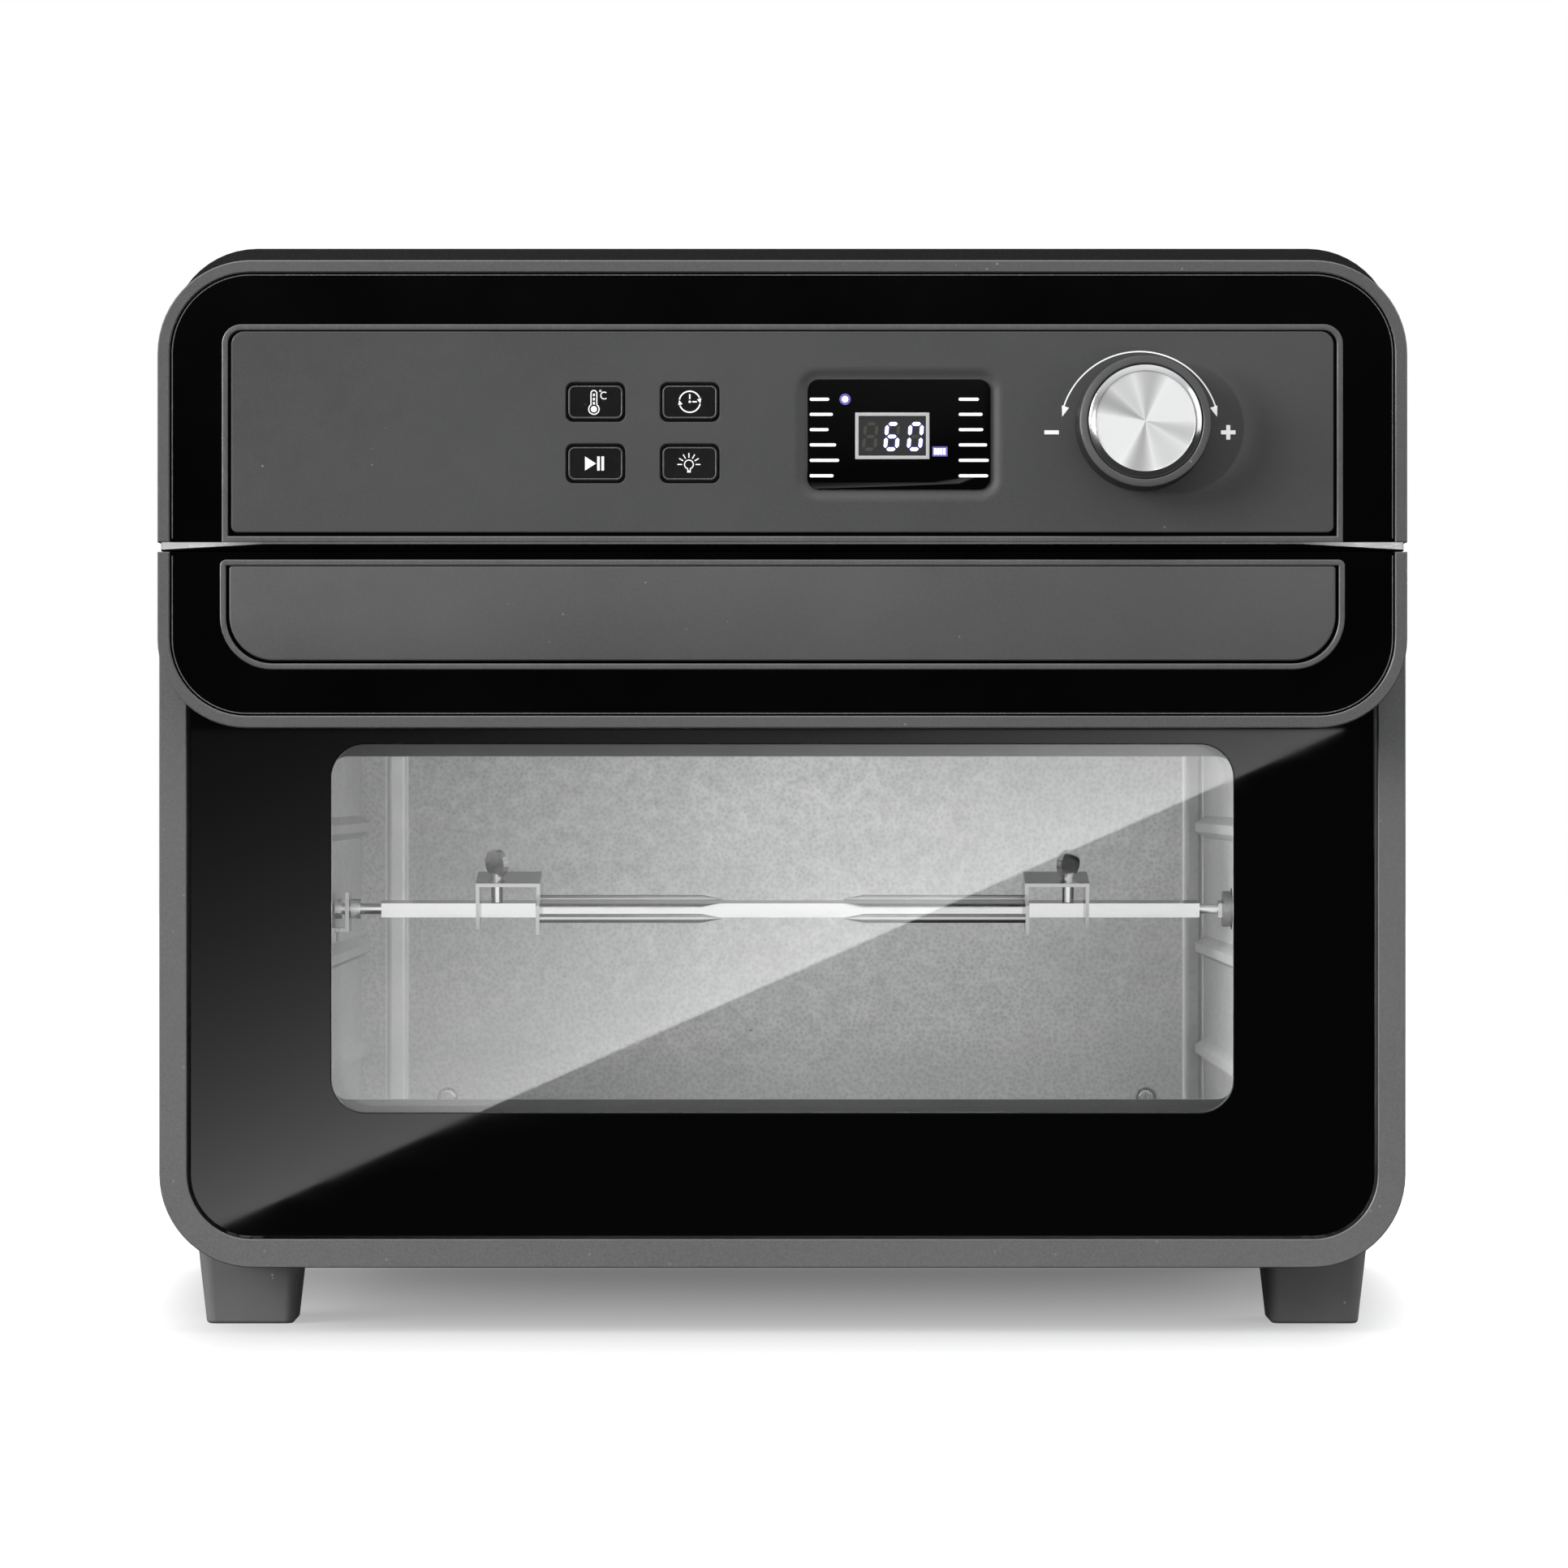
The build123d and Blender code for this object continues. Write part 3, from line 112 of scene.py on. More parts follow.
def new_object(name, vertices, faces, material, sharp_angle=35):
    """Mesh object from its points and faces."""
    mesh = bpy.data.meshes.new(name)
    mesh.from_pydata([tuple(v) for v in vertices], [], faces)
    mesh.validate()
    mesh.update()
    return dress_mesh(name, mesh, material, sharp_angle)


def stack(name, rings, material, closed=False, sharp_angle=35):
    """Skin over a row of equal rings; an open row is capped at both ends, a closed one is joined up."""
    count = len(rings[0])
    vertices = [point for ring in rings for point in ring]
    faces = []
    rows = len(rings) if closed else len(rings) - 1
    for row in range(rows):
        here = row * count
        there = ((row + 1) % len(rings)) * count
        for i in range(count):
            j = (i + 1) % count
            faces.append((here + i, here + j, there + j, there + i))
    if not closed:
        faces.append(tuple(reversed(range(count))))
        faces.append(tuple(range((len(rings) - 1) * count, len(rings) * count)))
    return new_object(name, vertices, faces, material, sharp_angle)


def middle_of(node):
    """Centre of a CAD node as (x, z)."""
    low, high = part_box(node)
    return ((low.x + high.x) / 2, (low.z + high.z) / 2)


def half_of(node):
    """Half width and half height of a CAD node."""
    low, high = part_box(node)
    return ((high.x - low.x) / 2, (high.z - low.z) / 2)


def outline_of(node, low_radius, high_radius):
    """Outline of a CAD node seen from the front, as the arguments of rounded_loop."""
    return (*half_of(node), middle_of(node), low_radius, high_radius)


def pad(name, outline, profile, material, closed=False):
    """Front-facing plate or frame: an outline carried along a profile of (inset, y) steps."""
    rings = [[(x, y, z) for x, z in rounded_loop(*outline, inset)] for inset, y in profile]
    return stack(name, rings, material, closed)


def lathe(name, centre, profile, material, steps=128, sharp_angle=30):
    """Turned shape about an axis along Y; profile is (radius, y) from the back to the front."""
    rings = [[(x, y, z) for x, z in circle(centre, radius, steps)] for radius, y in profile]
    return stack(name, rings, material, sharp_angle=sharp_angle)


def plate(name, loops, front, back, bevel, material, sharp_angle=30):
    """Flat plate facing the front, cut from closed loops of (x, z); inner loops are holes."""
    curve = bpy.data.curves.new(name, "CURVE")
    curve.dimensions = "2D"
    curve.fill_mode = "BOTH"
    curve.extrude = (back - front) / 2 - bevel
    curve.bevel_depth = bevel
    curve.bevel_resolution = 2
    curve.offset = -bevel
    for loop in loops:
        spline = curve.splines.new("POLY")
        spline.points.add(len(loop) - 1)
        for point, (x, z) in zip(spline.points, loop):
            point.co = (x, z, 0, 1)
        spline.use_cyclic_u = True
    source = link_object(name, curve)
    bpy.context.view_layer.update()
    mesh = bpy.data.meshes.new_from_object(source.evaluated_get(bpy.context.evaluated_depsgraph_get()))
    bpy.data.objects.remove(source)
    bpy.data.curves.remove(curve)
    middle = (front + back) / 2
    for vertex in mesh.vertices:
        x, z, depth = vertex.co
        vertex.co = (x, middle - depth, z)
    return dress_mesh(name, mesh, material, sharp_angle)


def stroke(points, width):
    """Outline of a stroke of constant width along (x, z) points."""
    left, right = [], []
    for index, (x, z) in enumerate(points):
        before = points[max(index - 1, 0)]
        after = points[min(index + 1, len(points) - 1)]
        dx, dz = after[0] - before[0], after[1] - before[1]
        length = math.hypot(dx, dz)
        nx, nz = -dz / length * width / 2, dx / length * width / 2
        left.append((x + nx, z + nz))
        right.append((x - nx, z - nz))
    return left + right[::-1]


# --- Material helpers -----------------------------------------------------------------------


def add_node(tree, kind, values=None):
    """New node with some of its inputs set."""
    node = tree.nodes.new(kind)
    for name, value in (values or {}).items():
        node.inputs[name].default_value = value
    return node


class Shader:
    """Small builder around one Principled material."""

    def __init__(self, name, metallic=0.0, specular=0.5):
        self.material = bpy.data.materials.new(name)
        self.material.use_nodes = True
        self.tree = self.material.node_tree
        self.principled = self.tree.nodes["Principled BSDF"]
        self.fix("Metallic", metallic)
        self.fix("Specular IOR Level", specular)
        self.place = self.add("ShaderNodeTexCoord").outputs["Object"]

    def add(self, kind, values=None):
        """New node in this material."""
        return add_node(self.tree, kind, values)

    def fix(self, socket, value):
        """Set one input of the surface to a constant."""
        self.principled.inputs[socket].default_value = value

    def link(self, source, target):
        """Join an output to an input."""
        self.tree.links.new(source, target)

    def stretched(self, scale):
        """Object coordinates scaled unevenly, for brushed and drawn surfaces."""
        mapping = self.add("ShaderNodeMapping", {"Scale": scale})
        self.link(self.place, mapping.inputs["Vector"])
        return mapping.outputs["Vector"]

    def axis(self, letter):
        """One object coordinate, in metres."""
        separate = self.add("ShaderNodeSeparateXYZ")
        self.link(self.place, separate.inputs["Vector"])
        return separate.outputs[letter]

    def noise(self, scale, detail=4.0, place=None):
        """Noise about 0.5 with a number of features per metre."""
        node = self.add("ShaderNodeTexNoise", {"Scale": scale, "Detail": detail, "Roughness": 0.55})
        self.link(place or self.place, node.inputs["Vector"])
        return node.outputs["Fac"]

    def cells(self, scale, feature="F1"):
        """Node of irregular cells, with a number of cells per metre."""
        node = self.add("ShaderNodeTexVoronoi", {"Scale": scale})
        node.feature = feature
        self.link(self.place, node.inputs["Vector"])
        return node

    def ramp(self, value, low, high, out_low, out_high):
        """Value carried from one range to another and held at the ends."""
        limits = {"From Min": low, "From Max": high, "To Min": out_low, "To Max": out_high}
        node = self.add("ShaderNodeMapRange", limits)
        self.link(value, node.inputs["Value"])
        return node.outputs["Result"]

    def spread(self, value, share=1.0):
        """Noise drawn out to run from 0 to a share."""
        return self.ramp(value, 0.3, 0.7, 0.0, share)

    def math(self, kind, a, b=0.0):
        """One step of arithmetic between two sockets or numbers."""
        node = self.add("ShaderNodeMath")
        node.operation = kind
        for socket, value in zip(node.inputs, (a, b)):
            if isinstance(value, (int, float)):
                socket.default_value = value
            else:
                self.link(value, socket)
        return node.outputs["Value"]

    def mix(self, factor, first, second):
        """Colour between two; each is a grey level, a colour or a colour socket."""
        node = self.add("ShaderNodeMix")
        node.data_type = "RGBA"
        self.link(factor, node.inputs["Factor"])
        for socket, value in ((node.inputs[6], first), (node.inputs[7], second)):
            if isinstance(value, float):
                value = grey(value)
            if isinstance(value, tuple):
                socket.default_value = (*value, 1.0)
            else:
                self.link(value, socket)
        return node.outputs[2]

    def colour(self, source):
        """Colour of the surface."""
        self.link(source, self.principled.inputs["Base Color"])

    def paint(self, factor, first, second):
        """Colour of the surface between two."""
        self.colour(self.mix(factor, first, second))

    def rough(self, source):
        """Roughness of the surface."""
        self.link(source, self.principled.inputs["Roughness"])

    def roughen(self, value, low, high):
        """Roughness that follows a noise between two limits."""
        self.rough(self.ramp(value, 0.3, 0.7, low, high))

    def bump(self, height, distance, strength=1.0):
        """Fine relief of the surface, its depth in metres."""
        node = self.add("ShaderNodeBump", {"Distance": distance, "Strength": strength})
        self.link(height, node.inputs["Height"])
        self.link(node.outputs["Normal"], self.principled.inputs["Normal"])

    def specks(self, scale, share, size):
        """Sparse small spots: 1 inside a spot, 0 outside."""
        cells = self.cells(scale)
        separate = self.add("ShaderNodeSeparateColor")
        self.link(cells.outputs["Color"], separate.inputs["Color"])
        chosen = self.math("GREATER_THAN", separate.outputs["Red"], 1 - share)
        near = self.ramp(cells.outputs["Distance"], size * 0.5, size, 1.0, 0.0)
        return self.math("MULTIPLY", chosen, near)


def grey(level):
    """Neutral colour."""
    return (level, level, level)


def satin_grey_shell(name, level):
    """Satin metallic-grey moulding of the frames and the handle's rim."""
    s = Shader(name, metallic=0.25, specular=0.45)
    fine = s.noise(1600, 2)
    broad = s.noise(9, 3)
    tone = s.mix(s.spread(fine), 0.85 * level, 1.1 * level)
    tone = s.mix(s.spread(broad, 0.35), tone, 1.25 * level)
    s.paint(s.specks(320, 0.10, 0.16), tone, 0.32)
    s.roughen(s.noise(420, 3), 0.34, 0.46)
    s.bump(fine, 0.00002, 0.6)
    return s.material


def inlay_grey(name, level):
    """Fine satin face of the control panel and the handle, with sparse dust specks."""
    s = Shader(name, metallic=0.15, specular=0.4)
    fine = s.noise(2200, 2)
    broad = s.noise(14, 4)
    tone = s.mix(s.spread(broad), 0.88 * level, 1.1 * level)
    tone = s.mix(s.ramp(fine, 0.35, 0.65, 0.0, 0.4), tone, 1.35 * level)
    s.paint(s.specks(240, 0.06, 0.1), tone, 0.3)
    s.roughen(s.noise(300, 3), 0.40, 0.52)
    s.bump(fine, 0.000015, 0.5)
    return s.material


def gloss_black():
    """High-gloss black moulding with faint smudges and hairline scratches."""
    s = Shader("gloss_black", specular=0.3)
    smudge = s.noise(35, 5)
    hair = s.noise(60, 8, s.stretched((1.0, 1.0, 40.0)))
    s.paint(s.ramp(smudge, 0.35, 0.7, 0.0, 1.0), 0.0006, 0.0016)
    s.rough(s.math("ADD", s.ramp(smudge, 0.3, 0.75, 0.012, 0.035), s.ramp(hair, 0.62, 0.7, 0.0, 0.02)))
    return s.material


def glass_print():
    """Black enamel print behind the door glass: perfectly smooth, with faint wiping marks."""
    s = Shader("door_glass_print")
    wipe = s.noise(18, 5, s.stretched((1.0, 1.0, 3.0)))
    s.paint(s.spread(wipe), 0.0003, 0.0008)
    s.rough(s.ramp(wipe, 0.35, 0.75, 0.012, 0.035))
    return s.material


def clear_glass(name, ior):
    """Clear glass with a trace of smears."""
    s = Shader(name)
    smear = s.noise(24, 4, s.stretched((1.0, 1.0, 3.0)))
    s.fix("Transmission Weight", 1.0)
    s.fix("IOR", ior)
    s.paint(s.spread(smear), (0.97, 0.98, 0.98), (1.0, 1.0, 1.0))
    s.rough(s.ramp(smear, 0.45, 0.8, 0.0, 0.02))
    return s.material


def paint_oven_sheet(s, level=1.0):
    """Soft mottling, fine grain and a few small stains of aluminised sheet."""
    cells = s.cells(700)
    fine = s.noise(1400, 3)
    cloud = s.noise(16, 5)
    patch = s.ramp(cells.outputs["Distance"], 0.1, 0.75, 0.0, 1.0)
    tone = s.mix(patch, 0.46 * level, 0.64 * level)
    tone = s.mix(s.spread(fine, 0.35), tone, 0.76 * level)
    tone = s.mix(s.ramp(cloud, 0.4, 0.75, 0.0, 0.3), tone, 0.44 * level)
    s.paint(s.specks(90, 0.07, 0.05), tone, 0.2)
    s.roughen(s.noise(260, 4), 0.42, 0.58)
    s.bump(fine, 0.00003, 0.5)


def oven_sheet():
    """Aluminised oven sheet."""
    s = Shader("oven_sheet", metallic=0.55, specular=0.4)
    paint_oven_sheet(s, 1.3)
    return s.material


def liner_sheet():
    """Darker coated sheet of the door's inner skin, with painted light: lighter towards the top."""
    s = Shader("liner_sheet", metallic=0.3)
    fine = s.noise(1500, 3)
    tone = s.mix(s.spread(fine), 0.078, 0.098)
    # Painted light: the sheet's colour is raised towards the top, standing in for light on its upper band.
    tone = s.mix(s.ramp(s.axis("Z"), 90 * MM, 170 * MM, 0.0, 0.7), tone, 0.55)
    s.paint(s.ramp(s.noise(20, 4), 0.4, 0.7, 0.0, 0.4), tone, 0.11)
    s.roughen(s.noise(300, 3), 0.42, 0.55)
    s.bump(fine, 0.00003, 0.4)
    return s.material


def powder_black():
    """Black powder-coated sheet: fine orange-peel, slight cloudiness and sparse dust."""
    s = Shader("powder_black", specular=0.3)
    peel = s.noise(1500, 2)
    tone = s.mix(s.spread(s.noise(7, 4)), 0.010, 0.015)
    tone = s.mix(s.ramp(peel, 0.35, 0.65, 0.0, 0.5), tone, 0.022)
    s.paint(s.specks(260, 0.05, 0.09), tone, 0.07)
    s.roughen(s.noise(600, 3), 0.42, 0.47)
    s.bump(peel, 0.000008, 0.25)
    return s.material


def moulded_plastic(name, dark, light, low_rough, high_rough):
    """Fine-textured moulded plastic between two tones."""
    s = Shader(name, specular=0.45)
    fine = s.noise(2400, 2)
    tone = s.mix(s.spread(s.noise(30, 4)), dark, light)
    s.paint(s.specks(300, 0.06, 0.14), tone, tuple(min(1.0, 2.2 * c) for c in light))
    s.roughen(s.noise(380, 3), low_rough, high_rough)
    s.bump(fine, 0.00003, 0.5)
    return s.material


def drawn_metal(name, dark, light, low_rough, high_rough, metallic=1.0):
    """Metal with fine drawing or brushing lines."""
    s = Shader(name, metallic=metallic)
    lines = s.noise(420, 5, s.stretched((6.0, 1.0, 1.0)))
    cloud = s.noise(60, 4)
    tone = s.mix(s.spread(lines), dark, light)
    s.paint(s.ramp(cloud, 0.5, 0.8, 0.0, 0.25), tone, tuple(0.55 * c for c in dark))
    s.roughen(lines, low_rough, high_rough)
    s.bump(lines, 0.00002, 0.4)
    return s.material


def tapered_strip():
    """Bright strip under the control block: a painted highlight at both ends, dark along its thin middle."""
    s = Shader("bright_strip", metallic=0.35)
    lines = s.noise(420, 5, s.stretched((0.2, 1.0, 1.0)))
    out = s.math("ABSOLUTE", s.axis("X"))
    bright = s.mix(s.spread(lines), 0.75, 0.95)
    # Painted highlight: the colour is bright only towards both ends, standing in for a reflection there.
    s.paint(s.ramp(out, 158 * MM, 176 * MM, 0.0, 1.0), 0.22, bright)
    s.roughen(lines, 0.2, 0.3)
    return s.material


# Painted highlights and shade on the back wall along its two upright ribs: left and right limit, lightness
# and share, with soft edges.
PAINTED_RIB_BANDS = ((-140.9 * MM, -133.5 * MM, 0.95, 0.75), (-141.2 * MM, -140.2 * MM, 1.0, 0.9),
             (-134.4 * MM, -133.4 * MM, 1.0, 0.9), (143.0 * MM, 149.4 * MM, 0.38, 0.7),
             (142.5 * MM, 143.7 * MM, 1.0, 0.95), (148.9 * MM, 150.0 * MM, 1.0, 0.95))
PAINTED_RIB_EDGE = 0.35 * MM


def ribbed_back_wall():
    """Oven sheet of the back wall, with painted highlights and painted shade in bands along its two upright
    ribs.
    """
    s = Shader("back_wall_sheet", metallic=0.55, specular=0.4)
    paint_oven_sheet(s)
    tone = s.principled.inputs["Base Color"].links[0].from_socket
    x = s.axis("X")
    # Each band paints highlight or shade into the sheet's colour.
    for left, right, level, share in PAINTED_RIB_BANDS:
        rise = s.ramp(x, left - PAINTED_RIB_EDGE, left + PAINTED_RIB_EDGE, 0.0, share)
        fall = s.ramp(x, right - PAINTED_RIB_EDGE, right + PAINTED_RIB_EDGE, 1.0, 0.0)
        tone = s.mix(s.math("MULTIPLY", rise, fall), tone, level)
    s.colour(tone)
    return s.material


def circuit_board():
    """Green solder mask with lighter copper tracks under it."""
    s = Shader("circuit_board")
    tracks = s.cells(220, "DISTANCE_TO_EDGE").outputs["Distance"]
    line = s.ramp(tracks, 0.04, 0.07, 1.0, 0.0)
    s.paint(line, (0.008, 0.07, 0.025), (0.02, 0.16, 0.06))
    s.roughen(s.noise(500, 3), 0.3, 0.45)
    s.bump(line, 0.00005, 0.5)
    return s.material


def unglazed_ceramic():
    """Off-white ceramic with fine pores."""
    s = Shader("unglazed_ceramic")
    pores = s.specks(900, 0.2, 0.25)
    tone = s.mix(s.spread(s.noise(40, 4)), (0.62, 0.6, 0.55), (0.74, 0.72, 0.68))
    s.paint(pores, tone, (0.4, 0.38, 0.34))
    s.roughen(s.noise(600, 3), 0.6, 0.8)
    s.bump(s.noise(900, 3), 0.00005, 0.6)
    return s.material


# Painted reflection of the spun disc: darker cones in its colour, each with direction and spread in
# degrees, and depth of the painted shade. Its rings are a sine of the radius.
SPUN_PAINTED_CONES = ((86, 24, 0.85), (152, 20, 0.8), (120, 30, 0.4), (262, 22, 0.95), (-17, 17, 0.5),
              (-60, 34, 0.3))
SPUN_RINGS = 26000.0


def spun_aluminium():
    """Lathe-spun disc: fine rings, with a painted reflection of light fanning out from the middle."""
    s = Shader("spun_aluminium", metallic=0.35)
    s.fix("Anisotropic", 0.85)
    tangent = s.add("ShaderNodeTangent")
    tangent.direction_type = "RADIAL"
    tangent.axis = "Y"
    s.link(tangent.outputs["Tangent"], s.principled.inputs["Tangent"])
    square = s.math("ADD", s.math("POWER", s.axis("X"), 2.0), s.math("POWER", s.axis("Z"), 2.0))
    radius = s.math("SQRT", square)
    rings = s.math("SINE", s.math("MULTIPLY", radius, SPUN_RINGS))
    direction = s.add("ShaderNodeVectorMath")
    direction.operation = "NORMALIZE"
    s.link(s.stretched((1.0, 0.0, 1.0)), direction.inputs[0])
    # Painted reflection: the cones darken the colour and turn with the disc.
    shade = None
    for centre, spread, depth in SPUN_PAINTED_CONES:
        heading = math.radians(centre)
        along = s.add("ShaderNodeVectorMath")
        along.operation = "DOT_PRODUCT"
        along.inputs[1].default_value = (math.cos(heading), 0.0, math.sin(heading))
        s.link(direction.outputs["Vector"], along.inputs[0])
        cone = s.ramp(along.outputs["Value"], math.cos(math.radians(spread)), 1.0, 0.0, depth)
        shade = cone if shade is None else s.math("MAXIMUM", shade, cone)
    tone = s.mix(shade, 1.0, 0.32)
    s.paint(s.ramp(rings, -1, 1, 0.0, 0.12), tone, 0.8)
    s.rough(s.ramp(rings, -1, 1, 0.26, 0.36))
    s.bump(rings, 0.000004, 0.4)
    return s.material


def polished(name, level=0.8, low_rough=0.05, high_rough=0.16):
    """Polished stainless or chrome with wiping marks."""
    s = Shader(name, metallic=1.0)
    wipe = s.noise(120, 5, s.stretched((0.4, 1.0, 1.0)))
    s.paint(s.spread(wipe), level * 0.85, level)
    s.roughen(wipe, low_rough, high_rough)
    s.bump(s.noise(900, 2), 0.000006, 0.3)
    return s.material


def printed_white():
    """White screen print, slightly uneven in cover, with a faint painted glow."""
    s = Shader("printed_white")
    cover = s.noise(1800, 3)
    s.paint(s.spread(cover), 0.78, 0.92)
    s.roughen(cover, 0.4, 0.55)
    # Painted light: a weak emission makes the print glow, though it is no lamp.
    s.fix("Emission Color", (1.0, 1.0, 1.0, 1.0))
    s.fix("Emission Strength", 0.4)
    return s.material


def lit_segment(name, colour, strength):
    """Lit segment, a little brighter in places."""
    s = Shader(name)
    s.paint(s.noise(900, 2), 0.1, 0.2)
    glow = s.mix(s.spread(s.noise(1500, 2)), colour, tuple(min(1.0, c * 1.15) for c in colour))
    s.link(glow, s.principled.inputs["Emission Color"])
    s.fix("Emission Strength", strength)
    return s.material


# Moulded surfaces: dark and light grey, and the limits of roughness.
MOULDED = {
    "enamel": (0.02, 0.035, 0.25, 0.4),
    "led_black": (0.01, 0.02, 0.3, 0.4),
    "window_rim": (0.6, 0.72, 0.35, 0.5),
    "window_field": (0.034, 0.042, 0.3, 0.4),
    "silicone": (0.02, 0.03, 0.6, 0.75),
    "feet_plastic": (0.17, 0.21, 0.34, 0.46),
    "gland_plastic": (0.012, 0.02, 0.45, 0.6),
    "switch_plastic": (0.015, 0.025, 0.4, 0.5),
    "knob_black": (0.018, 0.026, 0.32, 0.42),
    "dial_lip": (0.085, 0.115, 0.3, 0.4),
    "button_black": (0.008, 0.014, 0.14, 0.22),
}

# Drawn metals: the same, and how metallic they are.
DRAWN = {
    "inlay_edge": (0.16, 0.2, 0.3, 0.42, 0.4),
    # Painted highlight: light strokes along the black bezels' edges.
    "painted_edge_highlight": (0.16, 0.24, 0.2, 0.3, 0.3),
    # Painted highlight of the keys' rims.
    "key_rim_painted_highlight": (0.1, 0.16, 0.2, 0.3, 0.2),
    "bare_steel": (0.42, 0.58, 0.25, 0.4, 1.0),
    "screw_steel": (0.4, 0.55, 0.2, 0.35, 1.0),
    "socket_steel": (0.3, 0.42, 0.3, 0.45, 1.0),
    "motor_steel": (0.35, 0.45, 0.3, 0.45, 1.0),
    "fan_metal": (0.5, 0.62, 0.3, 0.45, 1.0),
}

MATERIALS = {
    "black_sheet": powder_black(),
    "oven_sheet": oven_sheet(),
    "liner_sheet": liner_sheet(),
    "grey_shell": satin_grey_shell("control_grey_shell", 0.15),
    # Painted light: the door's copy of the grey moulding is lighter, standing in for light thrown up from the
    # floor.
    "door_shell_painted_light": satin_grey_shell("door_grey_shell_painted_light", 0.2),
    "gloss_black": gloss_black(),
    "inlay_grey": inlay_grey("panel_inlay_grey", 0.09),
    "handle_inlay": inlay_grey("handle_inlay_grey", 0.115),
    "bright_strip": tapered_strip(),
    "back_wall": ribbed_back_wall(),
    "door_print": glass_print(),
    "door_glass": clear_glass("door_glass_clear", 1.55),
    "clear_glass": clear_glass("inner_glass_clear", 1.35),
    "spun_aluminium": spun_aluminium(),
    "dial_chrome": polished("dial_chrome", 0.95, 0.1, 0.18),
    "white_print": printed_white(),
    "board_green": circuit_board(),
    "heater_sheath": drawn_metal("heater_sheath", (0.06, 0.055, 0.05), (0.12, 0.11, 0.1), 0.4, 0.6),
    "spit_steel": polished("spit_steel"),
    "fork_steel": polished("fork_steel", 0.55, 0.12, 0.25),
    "lamp_ceramic": unglazed_ceramic(),
}
MATERIALS["display_glass"] = MATERIALS["gloss_black"]
for name, (dark, light, *limits) in MOULDED.items():
    MATERIALS[name] = moulded_plastic(name, grey(dark), grey(light), *limits)
for name, (dark, light, low, high, metallic) in DRAWN.items():
    MATERIALS[name] = drawn_metal(name, grey(dark), grey(light), low, high, metallic)


def dress_cad_nodes():
    """Give every CAD node the material of its slot."""
    for part in frame["record"]["subparts"]:
        node = frame["nodes"][part["node"]]
        for slot in node.material_slots:
            slot.material = MATERIALS[part["material_slot"]]
    own_finish = {"door_liner": "liner_sheet", "trim_strip": "bright_strip", "door_frame": "door_shell_painted_light",
                  "left_fork": "fork_steel", "right_fork": "fork_steel", "cavity_back_wall": "back_wall"}
    for name, finish in own_finish.items():
        for slot in frame["nodes"][name].material_slots:
            slot.material = MATERIALS[finish]


# --- Pieces ---------------------------------------------------------------------------------


def settle(piece, body):
    """Let a piece ride a body."""
    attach(piece, body)
    return piece


def hide_from(thing, *rays):
    """Take a piece or a light out of some kinds of ray."""
    for kind in rays:
        setattr(thing, "visible_" + kind, False)


SOFT_STEPS = 5


def soft_profile(front, back, edge):
    """Profile steps of a plate whose front edge is rounded over by an amount."""
    steps = [(0.0, back), (0.0, front + edge)]
    for i in range(1, SOFT_STEPS + 1):
        angle = math.radians(90 * i / SOFT_STEPS)
        steps.append((edge * (1 - math.cos(angle)), front + edge * (1 - math.sin(angle))))
    return steps


def soft_ring_profile(front, back, width, edge):
    """Closed profile of a frame of one width whose two front edges are rounded over."""
    outer = soft_profile(front, back, edge)
    inner = [(width - inset, y) for inset, y in reversed(outer)]
    return outer + inner


# Inlays: rounding of the handle's face, width and rounding of the edge frames, and each frame's node,
# name, body and lower and upper corner radius.
INLAY_EDGE = 0.55 * MM
TRIM_WIDTH = 1.9 * MM
TRIM_EDGE = 0.45 * MM
EDGE_FRAMES = (("handle_trim", "handle_inlay_edge", "door", 16.0 * MM, 2.0 * MM),
               ("panel_trim", "panel_inlay_edge", "body", 0.2 * MM, 6.0 * MM))


def build_inlays():
    """Rounded-over face of the handle, and the raised edge frames of the handle and control block."""
    low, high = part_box("handle_panel")
    face = pad("handle_inlay", outline_of("handle_panel", 13.6 * MM, 1.0 * MM),
               soft_profile(low.y, high.y, INLAY_EDGE), "handle_inlay")
    settle(face, "door")
    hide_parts("handle_panel")
    for node, name, body, low_radius, high_radius in EDGE_FRAMES:
        low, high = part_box(node)
        rim = pad(name, outline_of(node, low_radius, high_radius),
                  soft_ring_profile(low.y, high.y, TRIM_WIDTH, TRIM_EDGE), "inlay_edge", True)
        settle(rim, body)
        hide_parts(node)


def build_slit_backing():
    """Dark lip behind the bright strip, closing the slit over the handle."""
    low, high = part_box("trim_strip")
    handle_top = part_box("handle_rim")[1].z
    sill = handle_top + 0.35 * MM
    loop = box_loop(low.x - 0.6 * MM, high.x + 0.6 * MM, sill, high.z)
    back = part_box("door_frame")[1].y
    lip = plate("slit_backing", [loop], high.y + 0.2 * MM, back, 0.15 * MM, "gloss_black")
    settle(lip, "body")


def build_edge_highlight_lines():
    """Painted highlight: a fine light stroke just inside the rims, on the gloss-black fronts."""
    gap = 0.78 * MM
    width = 0.32 * MM
    for name, node, body, radius, top in (("control_bezel_highlight_line", "control_bezel", "body", 24.7 * MM, True),
                                          ("handle_core_highlight_line", "handle_core", "door", 23.5 * MM, False)):
        low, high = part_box(node)
        half = high.x - gap
        bend = radius - gap
        crown = high.z - gap if top else low.z + gap
        sign = 1 if top else -1
        base = (low.z if top else high.z) + sign * 1.2 * MM
        right = arc((half - bend, crown - sign * bend), bend, 0, 90 * sign, 24)
        left = arc((bend - half, crown - sign * bend), bend, 90 * sign, 180 * sign, 24)
        path = [(half, base), *right, *left, (-half, base)]
        mark(name, [stroke(path, width)], low.y, body, "painted_edge_highlight", 0.05 * MM)


